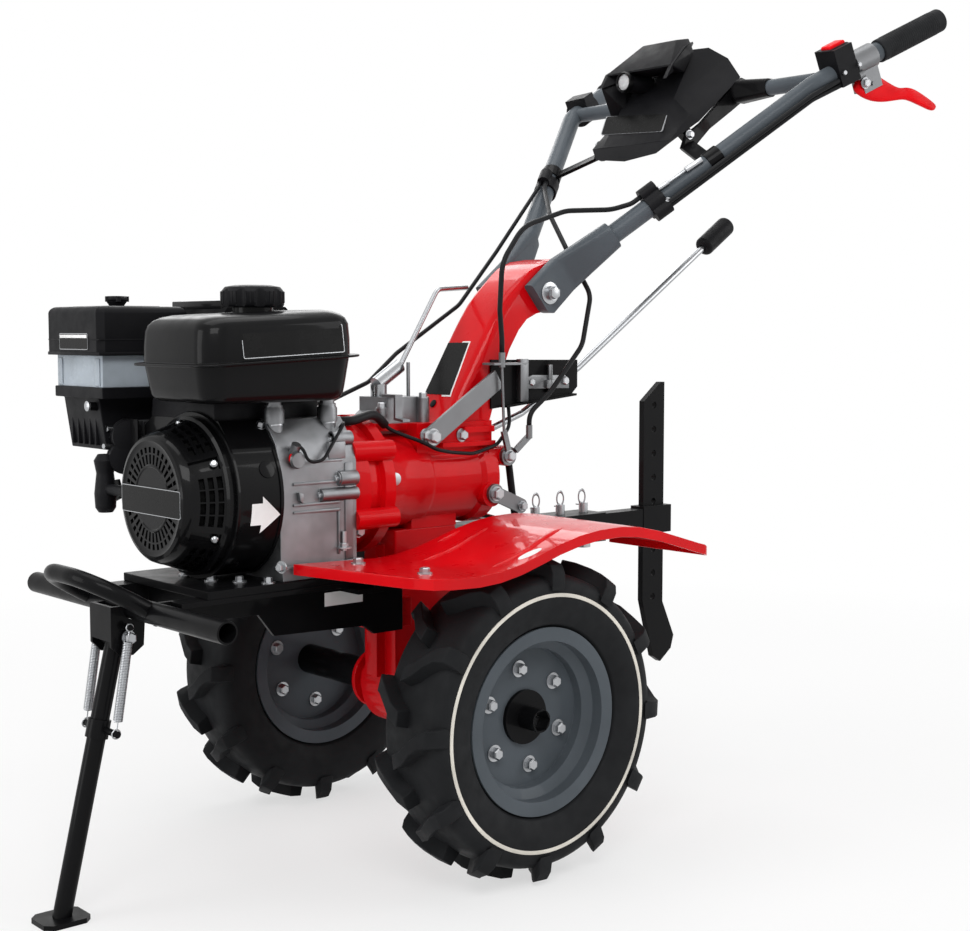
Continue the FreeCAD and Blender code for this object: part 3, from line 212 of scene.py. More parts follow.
class WEEDER_OT_finishes(bpy.types.Operator):
    """Make every finish and put one on each solid part"""

    bl_idname = "weeder.finishes"
    bl_label = "Finishes"

    def execute(self, context):
        c = context.scene.weeder_colours
        painted("red_paint", c.red, 0.3, 0.5, 0.05)
        painted("red_casting", shade(c.red, 0.92), 0.36, 0.3, 0.12, 0.35)
        painted("slate_paint", c.slate, 0.38, 0.2, 0.08)
        painted("black_paint", c.black, 0.38, 0.18, 0.1)
        painted("gloss_black", shade(c.black, 0.9), 0.3, 0.4, 0.05)
        painted("heat_black", c.black, 0.62, 0.0, 0.2, 0.3)
        painted("tank_black", shade(c.black, 0.95), 0.34, 0.3, 0.1)
        moulded("black_plastic", c.plastic, 0.46, 0.22)
        moulded("grip_rubber", shade(c.rubber, 1.1), 0.62, 0.3)
        moulded("cable_rubber", shade(c.rubber, 0.9), 0.4, 0.08)
        moulded("red_plastic", shade(c.red, 0.95), 0.34, 0.06)
        # painted shade: a near-black matt finish for the floors of the recoil cover's windows and slots,
        # darker than the cover so its hollows read dark
        moulded("dark_hollow", (0.002, 0.002, 0.002), 0.8, 0.1)
        tyre = moulded("tyre_rubber", c.rubber, 0.62, 0.25, 900.0)
        tyre.bump(tyre.noise(120.0, 5.0), 0.1, 0.0008)
        moulded("pale_band", c.band, 0.6, 0.15)
        moulded("white_label", (0.75, 0.75, 0.74), 0.4, 0.02)
        moulded("black_label", (0.006, 0.006, 0.006), 0.25, 0.01)
        metal("cast_metal", c.cast, 0.42, 0.5, 0.72)
        metal("zinc_plate", c.zinc, 0.36, blotch=0.93)
        metal("dull_zinc", shade(c.zinc, 0.42), 0.42, blotch=0.9)
        metal("bright_steel", shade(c.zinc, 0.8), 0.28, blotch=0.95)
        moulded("clear_bowl", c.bowl, 0.25, 0.04,
                values={"Subsurface Weight": 0.25, "Subsurface Radius": (0.006, 0.006, 0.007)})
        moulded("lamp_glass", (0.75, 0.77, 0.8), 0.06, 0.0, values={"Transmission Weight": 0.6, "IOR": 1.5})
        for finish, names in WEARS.items():
            for name in names.split():
                materials = NODES[name].data.materials
                materials.clear()
                materials.append(FINISH[finish])
        return {"FINISHED"}


WEARS = {
    "tyre_rubber": "tyre_left tyre_right",
    "slate_paint": "rim_left rim_right handlebar_left handlebar_right handlebar_cross",
    "black_paint": "hub_left hub_right frame_rails engine_plate bumper_tube bumper_loop stand_bracket "
                   "stand_leg gate_plate hitch_beam depth_bar fender_stay_left fender_stay_right "
                   "console_frame",
    "bright_steel": "axle_shaft pivot_bolt selector_rod shift_lever",
    "zinc_plate": "stand_springs hitch_pins",
    "dull_zinc": "clutch_link shift_linkage lever_perch",
    "red_casting": "drive_case gearbox_case clutch_housing",
    "red_paint": "handle_column fender_left fender_right",
    "cast_metal": "crankcase cylinder_head carburettor selector_cover",
    "gloss_black": "fan_shroud recoil_starter",
    "tank_black": "fuel_tank",
    "heat_black": "muffler",
    "black_plastic": "starter_grip fuel_cap air_filter_cover air_filter_base shift_knob switch_box "
                     "throttle_cluster console_cover cable_clips",
    "clear_bowl": "air_filter_bowl",
    "grip_rubber": "grip_left grip_right",
    "cable_rubber": "control_cables bar_cables",
    "red_plastic": "clutch_lever",
    "lamp_glass": "headlight",
}


# ------------------------------------------------------------------ shaping tools, with sizes in millimetres
def at(x, y, z):
    """A point in millimetres from the axle, ahead, left and above the ground, as one in metres."""
    return Vector((AXLE.x + x / 1000, y / 1000, z / 1000))


def mm(x, y, z):
    """A step in millimetres, as a vector in metres."""
    return Vector((x / 1000, y / 1000, z / 1000))


def facing(point, way, level=UP):
    """A matrix that puts local Z along a way and keeps local X level."""
    z = Vector(way).normalized()
    x = Vector(level).cross(z)
    if x.length < 1e-5:
        x = LEFT.cross(z)
    x.normalize()
    return Matrix.Translation(point) @ Matrix((x, z.cross(x), z)).transposed().to_4x4()


def around(count, start=0.0):
    """The cosine and sine of each of some even turns, from a start in degrees."""
    turns = [math.radians(360 / count * i + start) for i in range(count)]
    return [(math.cos(turn), math.sin(turn)) for turn in turns]


def pegs(centre, count, start, circle, foot, top, radius, sides):
    """Rows for upright rods on a circle about a centre."""
    return [(rod, centre + mm(circle * x, circle * y, foot), centre + mm(circle * x, circle * y, top), radius,
             sides) for x, y in around(count, start)]


def moving_verts(geom):
    return [g for g in geom if isinstance(g, bmesh.types.BMVert)]


def placed(point):
    """A place given in millimetres from the axle, or left as it is."""
    return point if isinstance(point, Vector) else at(*point)


def rod(bm, start, end, radius, sides=24, far=None):
    """A round rod between two places, or a cone where the far radius differs."""
    start, end = placed(start), placed(end)
    bmesh.ops.create_cone(bm, cap_ends=True, segments=sides, radius1=radius / 1000,
                          radius2=(radius if far is None else far) / 1000, depth=(end - start).length,
                          matrix=facing((start + end) / 2, end - start))


def block(bm, centre, sizes, turn=Matrix.Identity(3)):
    matrix = Matrix.Translation(placed(centre)) @ turn.to_4x4() @ Matrix.Diagonal((*mm(*sizes), 1))
    bmesh.ops.create_cube(bm, size=1, matrix=matrix)


def plate(bm, corners, thick):
    """A flat plate from its corners, thickened along a vector."""
    face = bm.faces.new([bm.verts.new(placed(p)) for p in corners])
    grown = bmesh.ops.extrude_face_region(bm, geom=[face])["geom"]
    bmesh.ops.translate(bm, verts=moving_verts(grown), vec=thick)


def lathe(bm, profile, matrix, steps=64):
    """Spin a line of (height, radius) points about local Z; returns the faces it makes."""
    before = set(bm.faces)
    verts = [bm.verts.new(matrix @ mm(radius, 0, height)) for height, radius in profile]
    edges = [bm.edges.new(pair) for pair in zip(verts, verts[1:])]
    bmesh.ops.spin(bm, geom=verts + edges, cent=matrix.translation, axis=matrix.col[2].xyz, dvec=(0, 0, 0),
                   angle=2 * math.pi, steps=steps, use_merge=True, use_duplicate=False)
    bmesh.ops.remove_doubles(bm, verts=bm.verts, dist=1e-6)
    return [f for f in bm.faces if f not in before]


def bolt(bm, foot, way, across, high, washer=0):
    """A hexagon head on a washer; the way points out of its seat."""
    foot, way = placed(foot), Vector(way).normalized() / 1000
    if washer:
        rod(bm, foot, foot + way * 1.6, washer)
        foot = foot + way * 1.6
    shoulder, radius = foot + way * high * 0.82, across * 0.577
    rod(bm, foot, shoulder, radius, 6)
    rod(bm, shoulder, foot + way * high, radius, 6, across * 0.45)


def screw(bm, foot, way, radius, high):
    """A round head with a domed top."""
    foot, way = placed(foot), Vector(way).normalized() / 1000
    shoulder = foot + way * high * 0.6
    rod(bm, foot, shoulder, radius, 16)
    rod(bm, shoulder, foot + way * high, radius, 16, radius * 0.6)


SEATS = {}


def seat(part, spot, way):
    """The spot, in millimetres from the axle, moved along a way onto the outside of a solid part."""
    if part not in SEATS:
        solid = NODES[part]
        SEATS[part] = BVHTree.FromPolygons([solid.matrix_world @ v.co for v in solid.data.vertices],
                                           [tuple(f.vertices) for f in solid.data.polygons])
    way = Vector(way).normalized()
    hit = SEATS[part].ray_cast(at(*spot) + way * 0.06, -way, 0.12)
    return hit[0] or at(*spot), hit[1] or way


def bolts(name, rows, body="chassis"):
    """Bolt heads seated on solid parts: (part, spot, way, across flats, height, washer radius)."""
    heads = [(bolt, seat(part, spot, way)[0], way, *sizes) for part, spot, way, *sizes in rows]
    build(name, "zinc_plate", heads, body, smooth=0.5)


def sweep(bm, rings):
    """Carry a face through rings of points, one extrusion a ring, and close both ends."""
    face = bm.faces.new([bm.verts.new(p) for p in rings[0]])
    for ring in rings[1:]:
        grown = bmesh.ops.extrude_face_region(bm, geom=[face])["geom"]
        if ring is not rings[1] and face.is_valid:
            bmesh.ops.delete(bm, geom=[face], context="FACES_ONLY")
        face = next(f for f in grown if isinstance(f, bmesh.types.BMFace))
        for vert, point in zip(face.verts, ring):
            vert.co = point
    bmesh.ops.holes_fill(bm, edges=[e for e in bm.edges if e.is_boundary])


def ring(bm, centre, way, radius, wire, sides=10, steps=32):
    """A closed ring of round wire."""
    angles = [2 * math.pi * i / sides for i in range(sides + 1)]
    lathe(bm, [(wire * math.sin(a), radius + wire * math.cos(a)) for a in angles], facing(centre, way), steps)


def rounded(bm, width, segments=2, angle=0.5):
    """Bevel the sharp edges."""
    bmesh.ops.remove_doubles(bm, verts=bm.verts, dist=1e-6)
    sharp = [e for e in bm.edges if len(e.link_faces) == 2 and e.calc_face_angle(0.0) > angle]
    bevel(bm, sharp, width, segments)


def bevel(bm, edges, width, segments):
    bmesh.ops.bevel(bm, geom=edges, offset=width / 1000, segments=segments, profile=0.5, affect="EDGES",
                    material=-1, clamp_overlap=True)


def meshed(bm, name):
    """A mesh from a bmesh, which is used up."""
    data = bpy.data.meshes.new(name)
    bm.to_mesh(data)
    bm.free()
    return data


def put(data, matrix=Matrix()):
    """A mesh, lamp or camera put in the scene under its own name."""
    thing = bpy.data.objects.new(data.name, data)
    thing.matrix_world = matrix
    bpy.context.scene.collection.objects.link(thing)
    return thing


def merge(bm, made):
    """Move what one bmesh holds into another."""
    loose = meshed(made, "loose")
    bm.from_mesh(loose)
    bpy.data.meshes.remove(loose)


def copied(part, shift=(0, 0, 0)):
    """A merged copy of a solid part, moved."""
    bm = bmesh.new()
    bm.from_mesh(NODES[part].data)
    bmesh.ops.transform(bm, matrix=Matrix.Translation(shift) @ NODES[part].matrix_world, verts=bm.verts)
    bmesh.ops.remove_doubles(bm, verts=bm.verts, dist=2e-5)
    return bm


def piece(bm, name, finishes, body="chassis", slot=None, replaces=(), smooth=0.6, recalc=True):
    """A finished piece from a bmesh; it rides on a named body, and stays where it is when given (first,
    second, start, end) instead.
    """
    if recalc:
        bmesh.ops.recalc_face_normals(bm, faces=bm.faces)
    data = meshed(bm, name)
    data.shade_smooth()
    data.set_sharp_from_angle(angle=smooth)
    for finish in finishes.split():
        data.materials.append(FINISH[finish])
    thing = put(data)
    if isinstance(body, str):
        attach(thing, body)
    else:
        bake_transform(thing)
    if replaces:
        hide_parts(*replaces)
    return thing


def build(name, finishes, shapes, body="chassis", **keys):
    """A piece from rows of a shaping tool and what it is given."""
    bm = bmesh.new()
    for shape, *sizes in shapes:
        shape(bm, *sizes)
    return piece(bm, name, finishes, body, **keys)


def round_corners(bm, way, radius):
    """Bevel the edges that run along a way."""
    way = way.normalized()
    along = [e for e in bm.edges if abs((e.verts[0].co - e.verts[1].co).normalized().dot(way)) > 0.99]
    bevel(bm, along, radius, 4)


def plaque(name, finish, corners, thick, corner, body="chassis"):
    """A blank plate with rounded corners, thickened along a vector."""
    build(name, finish, [(plate, corners, thick), (round_corners, thick, corner)], body, slot="plastic_black")


def badge(name, centre, way, level, wide, tall, thick):
    """A blank plate with a thin bright border, square to a way and with its length along a level."""
    way, level = Vector(way).normalized(), Vector(level).normalized()
    rise = way.cross(level)
    for label, finish, grow, high in (("_border", "zinc_plate", 0.9, thick * 0.8),
                                      ("", "black_label", 0, thick)):
        corners = [centre + level * (a * (wide / 2 + grow) / 1000) + rise * (b * (tall / 2 + grow) / 1000)
                   for a, b in ((-1, -1), (1, -1), (1, 1), (-1, 1))]
        plaque(name + label, finish, corners, way * (high / 1000), 2.2)


def soft_edges():
    """A node group that smooths all but a solid's sharp edges."""
    group = bpy.data.node_groups.new("soft_edges", "GeometryNodeTree")
    for way in ("INPUT", "OUTPUT"):
        group.interface.new_socket("Geometry", in_out=way, socket_type="NodeSocketGeometry")
    start, end = node(group, "NodeGroupInput"), node(group, "NodeGroupOutput")
    smooth = node(group, "GeometryNodeSetShadeSmooth")
    angle = node(group, "GeometryNodeInputMeshEdgeAngle")
    test = node(group, "FunctionNodeCompare", {"B": 0.7}, operation="GREATER_THAN")
    sharp = node(group, "GeometryNodeSetShadeSmooth", {"Shade Smooth": False}, domain="EDGE")
    for out, into in ((start.outputs[0], smooth.inputs["Geometry"]),
                      (angle.outputs["Unsigned Angle"], test.inputs["A"]),
                      (test.outputs["Result"], sharp.inputs["Selection"]),
                      (smooth.outputs["Geometry"], sharp.inputs["Geometry"]),
                      (sharp.outputs["Geometry"], end.inputs[0])):
        group.links.new(out, into)
    return group


def edge_bevel(thing, width, angle=38):
    """A live bevel on the edges sharper than an angle in degrees."""
    edge = thing.modifiers.new("edge", "BEVEL")
    edge.width = width / 1000
    edge.segments = 2
    edge.limit_method = "ANGLE"
    edge.angle_limit = math.radians(angle)
    return edge


class WEEDER_OT_edges(bpy.types.Operator):
    """Round the edges of the solid parts and smooth their curved faces"""

    bl_idname = "weeder.edges"
    bl_label = "Edges"

    def execute(self, context):
        width = context.scene.weeder_sizes.edge * 1000
        group = soft_edges()
        for name, solid in NODES.items():
            solid.modifiers.new("weld", "WELD").merge_threshold = 2e-5
            thick = name not in THIN
            if thick:
                flat = solid.modifiers.new("flat", "DECIMATE")
                flat.decimate_type = "DISSOLVE"
                flat.angle_limit = math.radians(0.6)
                edge_bevel(solid, width * EDGE_SCALE.get(name, 1.0)).miter_outer = "MITER_SHARP"
            solid.modifiers.new("soft", "NODES").node_group = group
            if thick:
                solid.modifiers.new("weight", "WEIGHTED_NORMAL").keep_sharp = True
        return {"FINISHED"}


THIN = ("selector_rod shift_lever control_cables bar_cables stand_springs handlebar_cross axle_shaft "
        "pivot_bolt starter_grip hitch_pins").split()
EDGE_SCALE = {"engine_plate": 1.5, "cylinder_head": 3.0, "drive_case": 3.0, "gearbox_case": 2.5,
              "crankcase": 3.0, "hitch_beam": 2.0, "clutch_housing": 2.5, "air_filter_base": 2.0,
              "console_cover": 2.0, "handle_column": 1.2, "fuel_cap": 1.5}


# ------------------------------------------------------------------ wheels
LUG = [
    # out from the tyre's middle, radius of the top, radius of the foot, way round, half width at top, at foot
    (-4, 202.5, 180, 0, 8.5, 12), (12, 202.8, 180, 8, 8.5, 12.5), (26, 202, 179, 21, 8, 12.5),
    (38, 199.8, 176, 30, 8.5, 13), (48.5, 195.5, 172, 34, 10, 13.5), (54.8, 185, 168, 34, 10.5, 13),
    (55.6, 170, 163, 33, 10, 11.5),
]
TYRE_SIDE = [(36.5, 103.5), (36.5, 118), (40, 119.5), (43.5, 121), (47, 128), (50.5, 138), (52.5, 148),
             (52.8, 152), (52.8, 164), (51, 172), (46, 178)]
BAND = [(52.2, -2.6), (53.4, -2.2), (53.9, 0), (53.4, 2.2), (52.2, 2.6), (52.2, -2.6)]


def wheel_hubs():
    """Each wheel's name, the side it is on and its centre."""
    low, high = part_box("tyre_left")
    return [(name, side, Vector((AXLE.x, side * (low.y + high.y) / 2, AXLE.z)))
            for name, side in (("left", 1), ("right", -1))]


def lug(bm, hub, across):
    """One lug about the axle, and its parts; its centre end leads when the wheel rolls ahead."""
    before = set(bm.verts)
    rings = []
    for out, top, foot, round_, wide, base in LUG:
        corners = ((-base, foot), (-wide, top), (wide, top), (base, foot))
        angles = [0.12 - (round_ + reach) / 190 for reach, radius in corners]
        rings.append([hub + mm(radius * math.sin(a), across * out, radius * math.cos(a))
                      for a, (reach, radius) in zip(angles, corners)])
    sweep(bm, rings)
    verts = [v for v in bm.verts if v not in before]
    linked = [e for v in verts for e in v.link_edges] + [f for v in verts for f in v.link_faces]
    return verts + list(dict.fromkeys(linked))


class WEEDER_OT_tyres(bpy.types.Operator):
    """Tyres with staggered lugs that meet in a V and a pale band on the outer side"""

    bl_idname = "weeder.tyres"
    bl_label = "Tyres"

    def execute(self, context):
        sizes = context.scene.weeder_sizes
        top = (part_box("tyre_left")[1].z - AXLE.z - sizes.lug_height) * 1000
        half = TYRE_SIDE + [(38, top - 3), (24, top - 1), (10, top), (0, top)]
        gap = 2 * math.pi / sizes.lug_count
        for name, side, hub in wheel_hubs():
            bm = bmesh.new()
            lathe(bm, half + [(-h, r) for h, r in half[-2::-1]] + [half[0]], facing(hub, LEFT), 120)
            for across, start in ((1, 0), (-1, gap / 2)):
                first = lug(bm, hub, across)
                for i in range(sizes.lug_count):
                    geom = bmesh.ops.duplicate(bm, geom=first)["geom"] if i else first
                    bmesh.ops.rotate(bm, verts=moving_verts(geom), cent=hub,
                                     matrix=Matrix.Rotation(i * gap if i else start, 3, "Y"))
            edge_bevel(piece(bm, "lugged_tyre_" + name, "tyre_rubber", "wheel_set", replaces=["tyre_" + name],
                             smooth=0.55), 1.1, 35)
            band = [(h, sizes.band_radius * 1000 + r) for h, r in BAND]
            rows = [(lathe, band, facing(hub, LEFT * side), 120)]
            build("tyre_band_" + name, "pale_band", rows, "wheel_set")
        return {"FINISHED"}


class WEEDER_OT_wheels(bpy.types.Operator):
    """Bolt heads and nuts of the wheels with their washers"""

    bl_idname = "weeder.wheels"
    bl_label = "Wheel bolts"

    def execute(self, context):
        circle = context.scene.weeder_sizes.bolt_circle * 1000
        for name, side, hub in wheel_hubs():
            rows = [(bolt, hub + mm(circle * x, way * face, circle * z), LEFT * way, 13.2, high, 10.5)
                    for x, z in around(6, 22) for way, face, high in ((side, 2.5, 9), (-side, 1.5, 7))]
            build("wheel_bolts_" + name, "zinc_plate", rows, "wheel_set", smooth=0.5)
        return {"FINISHED"}


# ------------------------------------------------------------------ recoil starter
# height and how far in from the cover's radius, then height and radius on its face
RECOIL_SIDE = [(0, 0), (7.5, 0), (9.5, 4), (11.5, 4.6), (19.5, 7.4), (21.5, 8.2), (29.5, 11), (31.5, 11.8),
               (39.5, 14.6), (46, 16.5), (53.5, 19.5), (56.5, 22.5), (57.8, 27), (56.5, 30), (56.2, 34.5),
               (56.2, 41.5), (56.2, 43.5)]
RECOIL_FACE = [(56.2, 41), (57.2, 39.5), (57.2, 38), (56.2, 36.5), (56.2, 20), (56.2, 0)]
WINDOW_ROWS = ((12.5, 19), (22.5, 29), (32.5, 39))
# how far from the middle the slots of the face begin, and how far in from the edge the two rings of them end
SLOT_START, SLOT_END, RIM_START, RIM_END = 41.2, 43.6, 41.4, 34.6


class WEEDER_OT_recoil(bpy.types.Operator):
    """Slotted cover of the recoil starter, with its blank plate and screws"""

    bl_idname = "weeder.recoil"
    bl_label = "Recoil cover"

    def execute(self, context):
        low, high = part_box("recoil_starter")
        radius = (high.z - low.z) * 500
        hub = Vector((low.x, 0, (low.z + high.z) / 2))
        bm = bmesh.new()
        profile = [(height, radius - inset) for height, inset in RECOIL_SIDE] + RECOIL_FACE
        shell = lathe(bm, profile, facing(hub, AHEAD, LEFT), 72)
        bmesh.ops.recalc_face_normals(bm, faces=bm.faces)
        slots, pockets, windows = [], [], {}
        for f in shell:
            spot = (f.calc_center_median() - hub) * 1000
            turn, reach = math.degrees(math.atan2(spot.z, spot.y)), math.hypot(spot.y, spot.z)
            sector = int(round(turn / 5 - 0.5)) % 12
            if 11.5 < spot.x < 46 and sector in (5, 6):
                pockets.append(f)
            elif any(a < spot.x < b for a, b in WINDOW_ROWS) and sector not in (4, 5, 6, 7):
                windows.setdefault((turn // 10, spot.x // 10), []).append(f)
            elif spot.x > 55.5 and sector % 2 == 0 and (SLOT_START < reach < radius - SLOT_END
                                                        or radius - RIM_START < reach < radius - RIM_END):
                slots.append(f)
        bmesh.ops.inset_region(bm, faces=pockets, thickness=0.0012, depth=-0.0045, use_even_offset=True)
        for faces in windows.values():
            for thick, depth in ((0.0009, 0), (0.0003, -0.006)):
                bmesh.ops.inset_region(bm, faces=faces, thickness=thick, depth=depth, use_even_offset=True)
        bmesh.ops.inset_individual(bm, faces=slots, thickness=0.0005, depth=-0.006, use_even_offset=True)
        # the windows and slots take the second finish, painted shade on their floors
        for f in sum(windows.values(), slots):
            f.material_index = 1
        piece(bm, "recoil_cover", "gloss_black dark_hollow", replaces=["recoil_starter"], smooth=0.5,
              recalc=False)
        reach = radius - 9
        rows = [(screw, hub + mm(16.5, reach * y, reach * z), (0.5, y, z), 4.6, 5) for y, z in around(6, 30)]
        build("recoil_screws", "bright_steel", rows)
        badge("recoil_plate", hub + mm(57, 0, -3), AHEAD, LEFT, 136, 31, 1.6)
        return {"FINISHED"}


# ------------------------------------------------------------------ engine
TANK_SEAM = 42.5
TANK = [
    # height above the bottom, inset from the flange, corner radius
    (0, 32, 18), (0.8, 25.5, 20), (3.4, 20, 22), (8, 16.8, 24), (16, 15, 25), (42, 10.5, 27),
    (TANK_SEAM, 1.5, 32), (42.8, 0, 32), (45.2, 0, 32), (45.5, 1.5, 32), (46, 9.5, 28), (64, 9.6, 28),
    (83, 10.8, 28), (90, 13.8, 27), (95, 18.8, 26), (98.4, 26, 24), (100.3, 36, 21), (101, 56, 14),
]
SHROUD_RADIUS = 98.5
CRANK_HEIGHT = 0.28
ARROW = [(306, 479), (306, 453), (291, 453), (291, 443), (266, 464), (291, 487), (291, 479)]
CASE_RIBS = [
    # from and to ahead, from and to above the ground, out, thickness
    (176, 244, 496, 499.5, 92, 2.2), (176, 244, 470.5, 474, 92, 2.2), (176, 244, 462, 465, 92, 2.2),
    (176, 179, 408, 462, 92, 2.2), (171, 203, 522, 525, 89, 4), (165, 190, 525, 546, 86, 5),
    (152, 262, 396, 400, 92, 3), (156, 168, 400, 520, 92, 1.6),
]
TANK_STAYS = (172, 250)
STAY_HEAD = [(0, 12.5), (16, 12.5), (19, 10.8), (22, 10.8)]
SHROUD_RIMS = [(60, 0), (60, 2.7), (63, 3.1), (64, 2.1), (64, 0)], [(0, 0), (0, 2.1), (4, 2.1), (4, 0)]
KNOB = [(0, 8.5), (4, 9), (9, 12.5), (12.5, 14.5), (15.5, 14.2), (17, 12), (17, 0)]
CARB_BOWL = [(0, 0), (0, 18), (4, 21), (10, 21), (12, 18), (18, 18), (20, 21), (26, 20), (28, 0)]
CAP_BUTTON = [(-1.5, 21.5), (0.2, 21), (0.8, 19.5), (-0.4, 18.5), (-0.6, 0)]


class WEEDER_OT_engine(bpy.types.Operator):
    """Fins, ribs, bolts, blank plates and small levers of the engine"""

    bl_idname = "weeder.engine"
    bl_label = "Engine detail"

    def execute(self, context):
        rise = context.scene.weeder_sizes.tank_rise
        arrow()
        tank(rise)
        filter_plate()
        engine_bolts()
        case_ribs()
        muffler()
        air_filter()
        fuel_cap(rise)
        levers()
        return {"FINISHED"}


def tank(rise):
    """Two pressed halves with a seam between them, rising to the rear, and a blank plate on the side."""
    low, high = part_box("fuel_tank")
    slope = rise / (high.x - low.x)

    def outline(height, inset, corner):
        share = min(1.0, height / TANK_SEAM) * slope
        height, inset, corner = height / 1000, inset / 1000, corner / 1000
        points = []
        corners = (high.x, high.y), (low.x, high.y), (low.x, low.y), (high.x, low.y)
        for quarter, (x, y) in enumerate(corners):
            x += (inset + corner) * (-1 if x == high.x else 1)
            y += (inset + corner) * (-1 if y == high.y else 1)
            for i in range(11):
                angle = math.pi / 2 * (quarter + i / 10)
                edge = x + corner * math.cos(angle)
                level = low.z + height + share * (high.x - edge)
                points.append(Vector((edge, y + corner * math.sin(angle), level)))
        return points

    bm = bmesh.new()
    sweep(bm, [outline(*row) for row in TANK])
    rod(bm, (264, 40, 690), (264, 40, 704 + rise * 500), 24, 48)
    edge_bevel(piece(bm, "fuel_tank_shell", "tank_black", replaces=["fuel_tank"], smooth=0.55), 0.8)
    badge("tank_plate", at(259, 119.6, 669), (0, 1, 0.09), (-1, 0, slope), 140, 32, 1)


def arrow():
    """A plain white arrow laid on the round of the fan housing, and the boss and rims beside it."""
    bm = bmesh.new()
    bm.faces.new([bm.verts.new(at(x, 0, z)) for x, z in ARROW])
    for i in range(-6, 7):
        bmesh.ops.bisect_plane(bm, geom=bm.verts[:] + bm.edges[:] + bm.faces[:],
                               plane_co=at(0, 0, 465 + 3.6 * i), plane_no=UP)
    centre = at(262, 0, 0) + UP * (AXLE.z + CRANK_HEIGHT)
    for v in bm.verts:
        v.co.y = math.sqrt(((SHROUD_RADIUS + 0.7) / 1000) ** 2 - (v.co.z - centre.z) ** 2)
    for v in moving_verts(bmesh.ops.extrude_face_region(bm, geom=bm.faces[:])["geom"]):
        v.co.y += 0.0005
    piece(bm, "arrow_mark", "white_label", slot="plastic_gloss")
    out = Vector((0, 0.9355, 0.3535))
    middle = centre + AHEAD * 0.019 + out * (SHROUD_RADIUS / 1000)
    rims = [[(height, SHROUD_RADIUS + proud) for height, proud in rim] for rim in SHROUD_RIMS]
    build("shroud_rims", "gloss_black", [(rod, middle, middle + out * 0.0016, 10.5, 40), (rounded, 0.6)]
          + [(lathe, rim, facing(centre, AHEAD, LEFT), 96) for rim in rims])


def filter_plate():
    """A blank plate on the air filter's cover, with a pale stripe."""
    badge("filter_plate", at(376.2, -204, 667.5), AHEAD, LEFT, 76, 19, 1)
    stripe = [(377.2, y, z) for y, z in ((-241, 672), (-167, 672), (-167, 676), (-241, 676))]
    build("filter_stripe", "white_label", [(plate, stripe, AHEAD * 0.0002)])


def engine_bolts():
    """Bolts and screws of the engine, what the tank stands on, and a dark block under the tank for its parts
    and painted shade.
    """
    build("engine_bolts", "zinc_plate", [
        (bolt, (267, 56, 566), (0, 0.5, 1), 9, 6, 7.5), (bolt, (266, 100, 401), (1, 0.3, 0), 9, 6, 7.5),
        (bolt, (266, -100, 401), (1, -0.3, 0), 9, 6, 7.5), (bolt, (172, 96, 415), UP, 9, 5, 9),
        (rod, (172, 96, 412), (172, 96, 436), 3, 12),
        *((bolt, (x, y, 382), UP, 9, 6, 8.5)
          for x, y in ((279, 90), (321, 30), (300, 60), (279, -90), (321, -30))),
        *((bolt, (x, y, 396), UP, 12, 8, 11) for x in (162, 254) for y in (84, -84)),
        *((screw, spot, AHEAD, 4.2, 3) for spot in ((205, 92, 482), (180, 92, 501), (180, 80, 549))),
    ], smooth=0.5)
    build("tank_stays", "cast_metal", [
        *((lathe, STAY_HEAD, facing(at(x, 62, 570), UP, AHEAD), 32) for x in TANK_STAYS),
        *((rod, (x, 62, 552), (x, 62, 571), 10.5, 32) for x in TANK_STAYS)])
    # a black block under the tank: it stands for the carburettor and governor parts there and is painted
    # shade where the gap lies in shadow
    build("under_tank_parts_and_shade", "black_plastic", [(block, (246, -32, 578), (150, 150, 40)), (rounded, 4, 3)])
    build("tank_stay_bolts", "zinc_plate", [(bolt, (x, 65, 568), (0, 0.2, -1), 11, 7, 9) for x in TANK_STAYS])


def case_ribs():
    """Raised ribs and pads of the crankcase side, and the fins of the cylinder."""
    build("case_ribs", "cast_metal", [
        *((block, ((x0 + x1) / 2, y + thick / 2 - 0.5, (z0 + z1) / 2), (x1 - x0, thick + 1, z1 - z0))
          for x0, x1, z0, z1, y, thick in CASE_RIBS),
        (plate, [(x, 92, z) for x, z in ((239, 488), (232, 486), (233, 474), (237, 478))], LEFT * 0.006),
        (rod, (151, 92, 501), (178, 92, 501), 9.5, 32), (rod, (151, 80, 549), (180, 80, 549), 9.5, 32),
        (rounded, 0.9)])
    fins = [(block, (211, -107 - 10 * i, 496), (112, 2.6, 112)) for i in range(9)]
    build("cylinder_fins", "cast_metal", [*fins, (rounded, 0.7)])
    build("switch_boot", "red_plastic", [(rod, (240, 90, 529), (240, 97, 529), 8, 24, 6)])
    build("sensor_cap", "cast_metal", [(rod, (240, 88, 534), (240, 95, 546), 6),
                                       (rod, (240, 96, 527), (240, 99.5, 527), 10.5, 32, 9)])


def muffler():
    low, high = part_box("muffler")
    top, front = Vector((low.x, low.y, high.z)), Vector((high.x, low.y, high.z))
    build("muffler_ribs", "gloss_black", [
        *((block, top + mm(12 + 8.5 * i, 74, 1), (3.4, 124, 13)) for i in range(11)),
        *((block, front + mm(-0.5, 16 + 11.8 * i, -55), (5, 5.2, 62)) for i in range(11)),
        *((block, low + mm(53, 0.2, 50 + 6.8 * i), (76, 4.4, 3)) for i in range(12)), (rounded, 1.4, 3)],
        slot="paint_black")
    mouth = top + mm(-12, 30, -30)
    build("muffler_outlet", "heat_black", [(rod, mouth, mouth + AHEAD * 0.022, 12, 32), (rounded, 1)])


